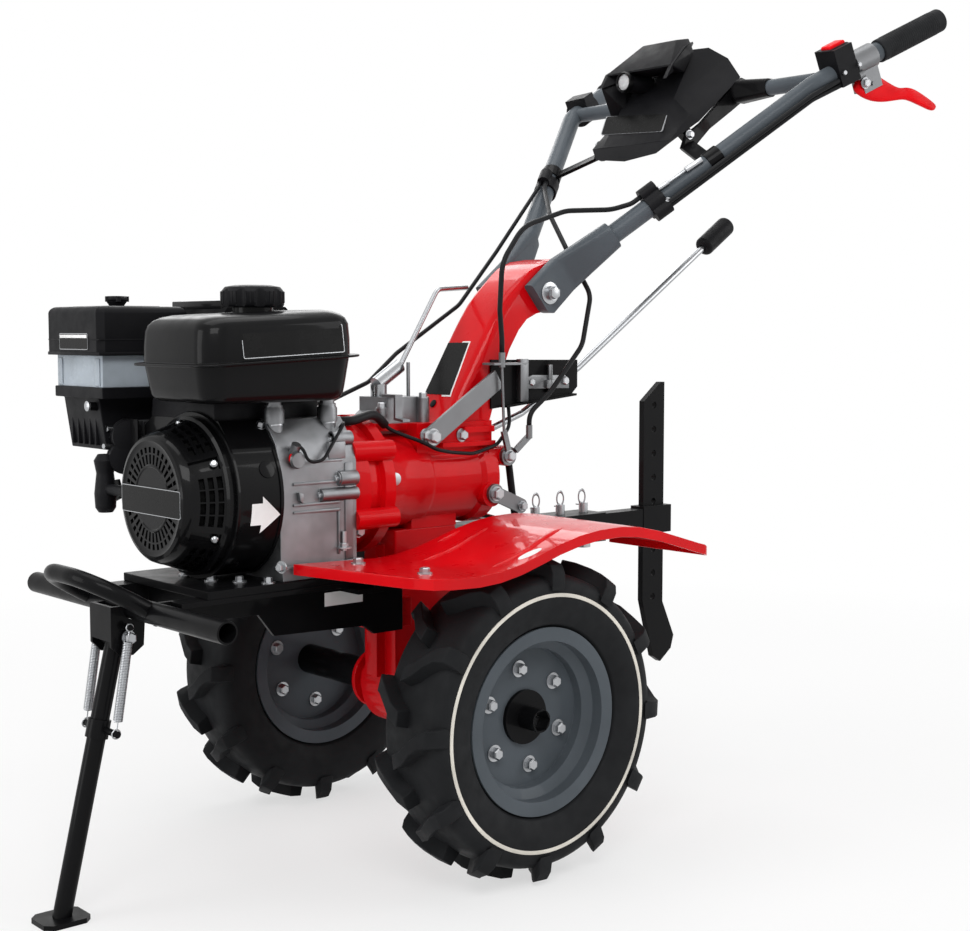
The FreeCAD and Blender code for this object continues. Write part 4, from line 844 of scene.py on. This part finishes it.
def air_filter():
    """Steps and ribs of the air filter's cover and body, its knob, bowl and clips."""
    low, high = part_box("air_filter_cover")
    middle = (low + high) / 2
    knob = at(314, -206, 0) + UP * high.z
    rows = [(block, Vector((middle.x, middle.y + y, z)), sizes) for y, z, sizes in (
        (-0.002, high.z - 0.0157, (72, 100, 5)), (0, low.z + 0.02, (125.2, 141.2, 1.6)),
        (0, low.z + 0.0022, (126.2, 142.2, 4.4)))]
    rows += [(rounded, 1.2), (lathe, KNOB, facing(knob - UP * 0.0172, UP, AHEAD), 32)]
    build("filter_cover_detail", "black_plastic", rows + pegs(knob, 5, 0, 12.5, -7.5, -0.5, 3.5, 16))
    base = at(313, -212, 0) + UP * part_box("air_filter_base")[0].z
    build("filter_body_detail", "black_plastic", [
        (block, base + UP * 0.016, (76, 100, 3)), (block, base + UP * 0.03, (86, 100, 3)),
        *((block, (357, -246 + 16 * i, 561), (6, 2.6, 52)) for i in range(5)), (rounded, 0.7),
        *((lathe, CARB_BOWL, facing(at(*spot), (0.35, 1, 0)), 40)
          for spot in ((326, -166, 548), (330, -168, 520)))])
    build("bowl_clips", "clear_bowl", [
        *((plate, [(368.4, y + a, z) for a, z in ((-6, 612), (-6, 646), (6, 646), (6, 612))], AHEAD * 0.0012)
          for y in (-258, -156)), (rounded, 0.6)])


def fuel_cap(rise):
    """The fuel cap raised with the tank, its centre button and the creases of its grip."""
    low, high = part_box("fuel_cap")
    raised = copied("fuel_cap", (0, 0, rise / 2))
    edge_bevel(piece(raised, "fuel_cap_body", "black_plastic", replaces=["fuel_cap"]), 1)
    centre = Vector(((low.x + high.x) / 2, (low.y + high.y) / 2, high.z + rise / 2))
    rows = [(lathe, CAP_BUTTON, facing(centre - UP * 0.0008, UP, AHEAD), 48)]
    for turn in (-0.14, 0, 0.14):
        rows += pegs(centre, 10, 18 + math.degrees(turn), 37.8, -21, -7.5, 0.9, 8)
    build("fuel_cap_detail", "black_plastic", rows)


def levers():
    """Choke, fuel tap and throttle levers beside the carburettor."""
    upper = [(331, y, z) for y, z in ((-168, 570), (-122, 570), (-122, 504), (-146, 500), (-168, 520))]
    lower = [(336, y, z) for y, z in ((-190, 488), (-164, 492), (-152, 470), (-176, 462))]
    build("throttle_plate", "black_paint", [
        (plate, upper, AHEAD * 0.002), (plate, lower, AHEAD * 0.003), (rounded, 0.6),
        (rod, (334, -172, 583), (372, -176, 586), 5.5, 20)])
    rows = [(screw, (372, -176, 586), AHEAD, 6.6, 4), (screw, (328, -136, 560), AHEAD, 3.6, 3)]
    for y, z, reach in ((-166, 556, 18), (-168, 534, 22), (-164, 516, 16), (-238, 536, 9), (-244, 552, 9)):
        rows += [(rod, (336, y, z), (336 + reach, y + 3, z + 1), 4, 16, 3.2),
                 (rod, (335, y, z), (338, y, z), 6.5, 16)]
    build("choke_levers", "zinc_plate", rows)


# ------------------------------------------------------------------ stand, gearbox and column
SPRING_PITCH = 2.05
SPRING_STEPS = 16


class WEEDER_OT_springs(bpy.types.Operator):
    """Coiled springs of the front stand and the heads of its pins"""

    bl_idname = "weeder.springs"
    bl_label = "Stand springs"

    def execute(self, context):
        wire = context.scene.weeder_sizes.spring_wire * 1000
        bm = bmesh.new()
        for side in (1, -1):
            top, low = at(434, 37 * side, 340), at(453.8, 37 * side, 218)
            way = (low - top).normalized()
            start, end = top + way * 0.016, low - way * 0.015
            coil(bm, start, end, 4.8, wire)
            for centre, edge, radius in ((top, start, 4.2), (low, end, 5.3)):
                ring(bm, centre, LEFT, radius, wire)
                rod(bm, centre + (edge - centre).normalized() * (radius / 1000), edge, wire, 8)
        piece(bm, "coiled_springs", "zinc_plate", ("chassis", "stand", at(434, 0, 340), at(440, 0, 310)),
              replaces=["stand_springs"])
        bolts("stand_pin_heads", [("stand_bracket", (432, 30, 327), LEFT, 13, 7, 8.5),
                                  ("stand_bracket", (432, -30, 327), RIGHT, 13, 7, 8.5)])
        return {"FINISHED"}


def coil(bm, start, end, radius, wire):
    """A close-wound coil between two points."""
    way = (end - start).normalized()
    out = way.cross(LEFT).normalized()
    turns = int((end - start).length * 1000 / (wire * SPRING_PITCH))
    steps = turns * SPRING_STEPS
    verts = bmesh.ops.create_circle(bm, cap_ends=False, segments=7, radius=wire / 1000,
                                    matrix=facing(start + out * (radius / 1000), way.cross(out)))["verts"]
    edges = list(dict.fromkeys(e for v in verts for e in v.link_edges))
    bmesh.ops.spin(bm, geom=verts + edges, cent=start, axis=way, dvec=(end - start) / steps,
                   angle=turns * 2 * math.pi, steps=steps, use_merge=False, use_duplicate=False)
    bmesh.ops.holes_fill(bm, edges=[e for e in bm.edges if e.is_boundary])


GEARBOX_BOLTS = [
    ("gearbox_case", (-58, 50, 542), LEFT, 12, 7, 9), ("gearbox_case", (12, 50, 545), LEFT, 12, 7, 9),
    ("gearbox_case", (-58, -50, 542), RIGHT, 12, 7, 9), ("gearbox_case", (12, -50, 545), RIGHT, 12, 7, 9),
    ("clutch_housing", (136, 86, 431), LEFT, 11, 6, 8), ("clutch_housing", (136, -86, 431), RIGHT, 11, 6, 8),
    ("clutch_link", (3, 60, 543), LEFT, 15, 8, 11), ("shift_linkage", (-130, 60, 511), LEFT, 12, 7, 9),
    ("shift_linkage", (-100, 66, 462), LEFT, 14, 8, 10), ("shift_linkage", (-147, 66, 442), LEFT, 10, 6, 7),
    ("gate_plate", (-246, 44, 611), LEFT, 11, 7, 8), ("gate_plate", (-183, 44, 610), LEFT, 9, 6, 7),
    ("selector_cover", (48, 10, 580), UP, 10, 6, 7.5), ("selector_cover", (-12, 22, 592), UP, 10, 6, 7.5),
    ("pivot_bolt", (-206, 68, 733), LEFT, 15, 5, 0), ("pivot_bolt", (-206, -68, 733), RIGHT, 15, 5, 0),
]
LATCH = ((-172, 601), (-176, 617), (-185, 620), (-243, 619), (-255, 613), (-255, 600))
COLUMN_FACE = Vector((0.857, 0, 0.515))


class WEEDER_OT_gearbox(bpy.types.Operator):
    """Bolts, plugs, latch, plates and clips of the gearbox, column, frame and hitch"""

    bl_idname = "weeder.gearbox"
    bl_label = "Gearbox and column detail"

    def execute(self, context):
        bolts("gearbox_bolts", GEARBOX_BOLTS)
        plug = seat("clutch_housing", (77, 86, 493), LEFT)[0]
        build("case_plug", "zinc_plate", [
            (rod, plug, plug + LEFT * 0.007, 9, 32, 8), (rod, (-206, 60, 733), (-206, 62, 733), 15.5, 40),
            (rod, (-206, -60, 733), (-206, -62, 733), 15.5, 40), (rounded, 0.6)])
        build("gate_latch", "dull_zinc", [
            (plate, [(x, 45, z) for x, z in LATCH], LEFT * 0.004),
            (rod, (-217, 50, 595), (-217, 50, 634), 3.8, 20), (block, (-217, 50, 607), (18, 7, 12)),
            (block, (-165, 49.8, 613), (15, 9.6, 59)), (rounded, 0.8)])
        vent = seat("handle_column", (-52, -7, 583), COLUMN_FACE)[0]
        build("breather", "black_plastic", [(rod, (-150, 38, 500), (-158, 42, 426), 5, 20),
                                            (rod, vent, vent + COLUMN_FACE * 0.0016, 5.5), (rounded, 0.5)])
        column_label()
        side = seat("frame_rails", (159, 80, 350), LEFT)[0]
        build("frame_plate", "white_label", [(block, side, (58, 1.2, 17))])
        hitch_clips()
        return {"FINISHED"}


def column_label():
    """A blank dark panel with a pale edge on the column's face."""
    for name, finish, border, lift in (("column_label_edge", "white_label", 0.0, 0.0006),
                                       ("column_label", "black_label", 1.0, 0.0011)):
        rings = []
        for i in range(13):
            share = i / 12
            share += (0.5 - share) * 0.06 * border
            x, z = -103 + 45 * share, 666.5 - 74 * share
            ends = [seat("handle_column", (x, y, z), COLUMN_FACE)[0]
                    for y in (13 + 11 * share - 2.5 * border, -35.5 + 2.5 * border)]
            rings.append([end + COLUMN_FACE * lift for end in ends]
                         + [end - COLUMN_FACE * 0.001 for end in ends[::-1]])
        build(name, finish, [(sweep, rings)])


def hitch_clips():
    """Spring clips through the hitch pins."""
    bm = bmesh.new()
    for x in (-237, -285, -329):
        loop = bmesh.new()
        ring(loop, Vector(), (0.5, 0.87, 0), 5, 1.1)
        bmesh.ops.scale(loop, vec=(1, 1, 2), verts=loop.verts)
        bmesh.ops.translate(loop, verts=loop.verts, vec=at(x, 0, 437))
        merge(bm, loop)
        rod(bm, (x, -12, 425), (x, 4, 425), 1.1, 10)
    piece(bm, "hitch_clips", "bright_steel")


# ------------------------------------------------------------------ mudguards
BEADS = (((100, 161), (46, 157), (-18, 145)), ((84, 272), (19, 267), (-55, 245)), ((40, 115), (0, 112)))


class WEEDER_OT_guards(bpy.types.Operator):
    """Pressed beads, bolts and a pale plate on the mudguards"""

    bl_idname = "weeder.guards"
    bl_label = "Mudguards"

    def execute(self, context):
        for name, side in (("left", 1), ("right", -1)):
            guard = "fender_" + name
            rows = [(bead, guard, [(x, y * side) for x, y in path], 0.0055, 0.0026) for path in BEADS]
            build("guard_beads_" + name, "red_paint", rows, smooth=1.0)
            bolts("guard_bolts_" + name, [(guard, (x, y * side, z), UP, 11, 6, 9)
                                          for x, y, z in ((181, 137, 401), (168, 249, 400))])
            spot, normal = seat(guard, (34, 283 * side, 415), (0, 0.3 * side, 1))
            bm = bmesh.new()
            rod(bm, Vector(), UP * 0.0008, 11, 48)
            bmesh.ops.scale(bm, vec=(1.7, 0.62, 1), verts=bm.verts)
            bmesh.ops.transform(bm, matrix=facing(spot - normal * 0.0003, normal, LEFT), verts=bm.verts)
            piece(bm, "guard_plate_" + name, "white_label", slot="paint_red")
        return {"FINISHED"}


def bead(bm, guard, path, wide, high):
    """A half-round bead pressed up from the sheet along a path seen from above."""
    spots = []
    for (x0, y0), (x1, y1) in zip(path, path[1:]):
        spots += [(x0 + (x1 - x0) * i / 8, y0 + (y1 - y0) * i / 8) for i in range(8)]
    spots.append(path[-1])
    lift = [seat(guard, (x, y, 420), UP) for x, y in spots]
    last = len(lift) - 1
    rings = []
    for i, (point, normal) in enumerate(lift):
        across = normal.cross(lift[min(i + 1, last)][0] - lift[max(i - 1, 0)][0]).normalized()
        share = min(1.0, 0.25 + min(i, last - i) * 0.4)
        rings.append([point + across * wide * share * math.cos(a)
                      + normal * (high * share * math.sin(a) - 0.0004)
                      for a in (math.pi * j / 6 for j in range(7))])
    made = bmesh.new()
    sweep(made, rings)
    bmesh.ops.recalc_face_normals(made, faces=made.faces)
    merge(bm, made)


# ------------------------------------------------------------------ handlebar controls
BAR_ALONG, BAR_OUT = Vector((-0.867, 0.2406, 0.4356)), Vector((0.215, 0.970, -0.108))
BAR_UP = Vector((0.449, 0, 0.8935))
CABLE_BEND = ("chassis", "handlebar", at(-206, 0, 665), at(-206, 0, 850))
ADJUSTER = ((-346, 132, 879), (-358, 140, 888), (-378, 154, 905), (-397, 167, 920))
CONTROL_BOLTS = [
    ("lever_perch", (-622, 270, 1036), BAR_OUT, 11, 6, 8),
    ("switch_box", (-570, 284, 1044), BAR_OUT, 6, 4, 0), ("switch_box", (-596, 284, 1058), BAR_OUT, 6, 4, 0),
    ("throttle_cluster", (-566, -284, 1044), (0.2, -1, 0), 6, 4, 0),
    ("throttle_cluster", (-590, -284, 1056), (0.2, -1, 0), 6, 4, 0),
    ("cable_clips", (-355, 150, 884), (0, 0.3, 1), 7, 4, 5),
]
LEVER_TOP = ((-618, 267, 1046), (-641, 275, 1046), (-663, 280, 1038), (-686, 288, 1031), (-698, 290, 1034),
             (-711, 295, 1034), (-737, 302, 1022), (-757, 308, 1011))
LEVER_LOW = ((-602, 267, 1030), (-630, 273, 1018), (-659, 280, 1015), (-687, 288, 1018), (-700, 292, 1019),
             (-711, 296, 1016), (-732, 302, 1009), (-749, 307, 1003))


class WEEDER_OT_controls(bpy.types.Operator):
    """Clutch lever, cables, rocker, grips and adjusters of the handlebar"""

    bl_idname = "weeder.controls"
    bl_label = "Controls"

    def execute(self, context):
        lever()
        piece(copied("control_cables"), "bending_cables", "cable_rubber", CABLE_BEND,
              replaces=["control_cables"])
        turn = Matrix((BAR_ALONG, BAR_OUT, BAR_UP)).transposed()
        for name, finish, height, sizes, *edge in (
                ("stop_rocker", "red_plastic", 1084.4, (30, 21, 7), 3, 4),
                ("rocker_frame", "black_plastic", 1081.6, (36, 26, 3), 1.2)):
            rows = [(block, (-568.7, 259.1, height), sizes, turn), (rounded, *edge)]
            build(name, finish, rows, "handlebar")
        grips()
        rows = [(rod, start, end, radius, 20)
                for start, end, radius in zip(ADJUSTER, ADJUSTER[1:], (3.4, 1.8, 4.4))]
        build("cable_adjusters", "zinc_plate", [*rows, (rounded, 0.5)], "handlebar")
        bolts("control_bolts", CONTROL_BOLTS, "handlebar")
        return {"FINISHED"}


def lever():
    """A flat moulded lever with thick rounded edges, from its top and bottom edges."""
    def squared(share):
        return math.copysign(abs(share) ** 0.6, share)

    rings = []
    for i, (top, low) in enumerate(zip(LEVER_TOP, LEVER_LOW)):
        top, low = at(*top), at(*low)
        middle, half = (top + low) / 2, (top - low) / 2 * (1.45 if i < 3 else 1.2)
        thick = BAR_OUT * (0.0052 if i < 6 else 0.0042)
        rings.append([middle + half * squared(math.cos(a)) + thick * squared(math.sin(a))
                      for a in (2 * math.pi * (j + 0.5) / 16 for j in range(16))])
    made = build("moulded_lever", "red_plastic", [(sweep, rings)], "handlebar", replaces=["clutch_lever"],
                 smooth=1.2)
    smooth = made.modifiers.new("smooth", "SUBSURF")
    smooth.levels = smooth.render_levels = 2


def grips():
    """Rings and end caps of the rubber grips."""
    rows, caps = [], []
    for side in (1, -1):
        end = at(-754, 306 * side, 1135)
        way = (end - at(-545, 248 * side, 1030)).normalized()
        rows += [(ring, end - way * (0.012 + 0.0038 * i), way, 16.6, 0.8, 6, 40) for i in range(26)]
        caps.append((rod, end + way * 0.001, end + way * 0.0035, 12.5, 40, 11.5))
    build("grip_rings", "grip_rubber", rows, "handlebar")
    build("grip_ends", "grip_rubber", caps, "handlebar")


# the console's facets: across, up its face and out of it
HOOD_CREST = [(side * u, v, n) for side in (1, -1) for u, v, n in (
    (67, 106, 53), (34, 169, 37), (30, 192, 12), (46, 170, 6), (50, 128, 10), (60, 110, 40))]
HOOD_CHEEK = [(-69, 108, 51), (-67, 84, 51), (-50, 118, 28), (-76, 60, -6), (-84, 105, -20), (-48, 145, 0),
              (-46, 74, 6)]
CONSOLE_PLATE = [(-74, 29, 8.6), (-80, 64, 8.6), (53, 53, 8.6), (58, 20, 8.6)]
CONSOLE_FACE = Vector((0.8517, 0, 0.524))
LAMP_BEZEL = [(-6, 11.8), (2, 11.8), (3.2, 12.8), (3.2, 14.2), (1.5, 15.2), (-6, 15.6), (-6, 11.8)]
LAMP_BOWL = [(-10, 0), (-9.5, 4), (-7, 8), (-3, 10.5), (-1, 11.7), (-2, 11.8), (-11, 8), (-11.5, 0)]
LAMP_COVER = [(-0.8, 0), (-0.8, 11.6), (0.4, 11.6), (1.8, 8.5), (2.6, 4.5), (2.9, 0)]


def on_console(u, v, n):
    """A place given across the console, up its face and out of it."""
    face = CONSOLE_FACE
    return at(-430 - v * face.z + n * face.x, u, 950 + v * face.x + n * face.z)


class WEEDER_OT_console(bpy.types.Operator):
    """Lamp, hood, blank plate and bolts of the console"""

    bl_idname = "weeder.console"
    bl_label = "Console"

    def execute(self, context):
        lamp = facing(at(-438, -25, 1053), AHEAD, LEFT)
        for name, finish, profile, keys in (("bezel", "gloss_black", LAMP_BEZEL, {}),
                                            ("bowl", "bright_steel", LAMP_BOWL, {"slot": "lamp"}),
                                            ("cover", "lamp_glass", LAMP_COVER, {"replaces": ["headlight"]})):
            build("lamp_" + name, finish, [(lathe, profile, lamp, 48)], "handlebar", **keys)
        for name, points in (("hood_crest", HOOD_CREST), ("hood_cheek", HOOD_CHEEK)):
            bm = bmesh.new()
            bmesh.ops.convex_hull(bm, input=[bm.verts.new(on_console(*p)) for p in points])
            bmesh.ops.delete(bm, geom=[v for v in bm.verts if not v.link_faces], context="VERTS")
            bmesh.ops.dissolve_limit(bm, angle_limit=0.03, verts=bm.verts, edges=bm.edges)
            rounded(bm, 1.6, 2, 0.35)
            piece(bm, name, "black_plastic", "handlebar")
        corners = [on_console(*p) for p in CONSOLE_PLATE]
        middle = sum(corners, Vector()) / 4
        for name, finish, share, lift in (("console_plate_edge", "zinc_plate", 1.0, 0.0006),
                                          ("console_plate", "black_label", 0.97, 0.0009)):
            plaque(name, finish, [middle + (c - middle) * share - CONSOLE_FACE * 0.001 for c in corners],
                   CONSOLE_FACE * (lift + 0.001), 3, "handlebar")
        bolts("console_bolts", [("console_frame", (x, y * side, z), LEFT * side, 9, 5, 7) for side in (1, -1)
                                for x, y, z in ((-454, 90, 966), (-582, 100, 1047))], "handlebar")
        return {"FINISHED"}


# ------------------------------------------------------------------ stage
LAMPS = [
    # name, place, what it looks at, width and height, watts
    ("key", (2.2, 2.6, 3.2), (0.1, 0.0, 0.5), (2.4, 1.6), 82.0),
    ("side", (-2.6, 2.4, 1.9), (0.0, 0.0, 0.5), (1.6, 2.4), 38.0),
    ("front", (3.4, -0.8, 1.3), (0.1, 0.0, 0.5), (1.4, 2.2), 34.0),
    ("top", (0.0, -0.4, 3.6), (0.0, 0.0, 0.5), (3.0, 2.0), 46.0),
    ("back", (-1.6, -2.8, 2.4), (0.0, 0.0, 0.6), (2.4, 1.6), 30.0),
]
WHITE = (1, 1, 1, 1)
SKY = 0.3
CAMERA_PLACE = (1.3101, 1.675, 0.6813)
CAMERA_TURN, CAMERA_DROP = -2.2843, 0.0846
CAMERA_LENS, CAMERA_SENSOR = 59.034, 36.0


class WEEDER_OT_stage(bpy.types.Operator):
    """Pale floor, soft lamps and the camera"""

    bl_idname = "weeder.stage"
    bl_label = "Stage"

    def execute(self, context):
        scene = context.scene
        bm = bmesh.new()
        bmesh.ops.create_grid(bm, x_segments=1, y_segments=1, size=scene.weeder_sizes.floor)
        data = meshed(bm, "floor")
        data.materials.append(floor_finish(scene.weeder_colours.floor))
        put(data)
        backdrop(scene)
        for name, spot, look, size, power in LAMPS:
            lamp = bpy.data.lights.new(name, "AREA")
            lamp.shape = "RECTANGLE"
            lamp.size, lamp.size_y = size
            lamp.energy = power * scene.weeder_sizes.light
            put(lamp, facing(Vector(spot), Vector(spot) - Vector(look)))
        lens = bpy.data.cameras.new("camera")
        lens.sensor_width = CAMERA_SENSOR
        lens.lens = CAMERA_LENS
        level = math.cos(CAMERA_DROP)
        look = Vector((math.cos(CAMERA_TURN) * level, math.sin(CAMERA_TURN) * level, -math.sin(CAMERA_DROP)))
        scene.camera = put(lens, facing(Vector(CAMERA_PLACE) + AHEAD * AXLE.x, -look))
        scene.view_settings.view_transform = "Standard"
        return {"FINISHED"}


def seen_rays(tree):
    """A socket that is 1 for rays that look at the backdrop, straight, in a reflection or through glass."""
    path = tree.nodes.new("ShaderNodeLightPath")
    most = path.outputs["Is Camera Ray"]
    for other in ("Is Glossy Ray", "Is Transmission Ray"):
        either = node(tree, "ShaderNodeMath", operation="MAXIMUM")
        tree.links.new(most, either.inputs[0])
        tree.links.new(path.outputs[other], either.inputs[1])
        most = either.outputs["Value"]
    return most


def floor_finish(colour):
    """Matt pale floor that takes the shadow near the machine and fades to the white backdrop further out."""
    s = Shader("floor", colour, 0.9)
    s.vary_roughness(s.noise(3.0, 2.0), 0.85, 0.95)
    glow = s.add("ShaderNodeEmission", {"Color": WHITE, "Strength": 1.0})
    reach = s.add("ShaderNodeVectorMath", operation="LENGTH")
    s.link(s.place, "Object", reach, 0)
    share = s.add("ShaderNodeMath", operation="MULTIPLY")
    s.link(s.ramp(reach, 0.62, 1.0, 0.7, 2.2, out="Value"), "Result", share, 0)
    s.tree.links.new(seen_rays(s.tree), share.inputs[1])
    mix = s.add("ShaderNodeMixShader")
    s.link(share, "Value", mix, "Fac")
    s.link(s.surface, "BSDF", mix, 1)
    s.link(glow, "Emission", mix, 2)
    s.link(mix, "Shader", s.out, "Surface")
    return s.material


def backdrop(scene):
    """A grey sky for the light and a white one for what looks past the floor."""
    scene.world = bpy.data.worlds.new("studio")
    scene.world.use_nodes = True
    tree = scene.world.node_tree
    tree.nodes.clear()
    mix = node(tree, "ShaderNodeMixShader")
    tree.links.new(seen_rays(tree), mix.inputs["Fac"])
    for slot, strength in ((1, SKY), (2, 1.0)):
        sky = node(tree, "ShaderNodeBackground", {"Color": WHITE, "Strength": strength})
        tree.links.new(sky.outputs[0], mix.inputs[slot])
    tree.links.new(mix.outputs[0], node(tree, "ShaderNodeOutputWorld").inputs["Surface"])


# ------------------------------------------------------------------ panel and registration
class WEEDER_PT_panel(bpy.types.Panel):
    """Sizes, colours and steps of the weeder's looks"""

    bl_idname = "WEEDER_PT_panel"
    bl_label = "Power weeder"
    bl_space_type = "VIEW_3D"
    bl_region_type = "UI"
    bl_category = "Weeder"

    def draw(self, context):
        layout = self.layout
        for group in (context.scene.weeder_sizes, context.scene.weeder_colours):
            box = layout.box()
            for name in group.__annotations__:
                box.prop(group, name)
        for step in STEPS:
            layout.operator(step.bl_idname)


STEPS = [WEEDER_OT_finishes, WEEDER_OT_edges, WEEDER_OT_stage, WEEDER_OT_tyres, WEEDER_OT_wheels,
         WEEDER_OT_recoil, WEEDER_OT_engine, WEEDER_OT_springs, WEEDER_OT_gearbox, WEEDER_OT_guards,
         WEEDER_OT_controls, WEEDER_OT_console]
CLASSES = [WeederSizes, WeederColours, *STEPS, WEEDER_PT_panel]


def register():
    for cls in CLASSES:
        bpy.utils.register_class(cls)
    bpy.types.Scene.weeder_sizes = PointerProperty(type=WeederSizes)
    bpy.types.Scene.weeder_colours = PointerProperty(type=WeederColours)


def unregister():
    del bpy.types.Scene.weeder_colours
    del bpy.types.Scene.weeder_sizes
    for cls in reversed(CLASSES):
        bpy.utils.unregister_class(cls)


def main():
    register()
    for step in STEPS:
        name = step.bl_idname.split(".")[1]
        result = getattr(bpy.ops.weeder, name)()
        if result != {"FINISHED"}:
            raise RuntimeError("%s did not finish" % name)


if __name__ == "__main__":
    main()
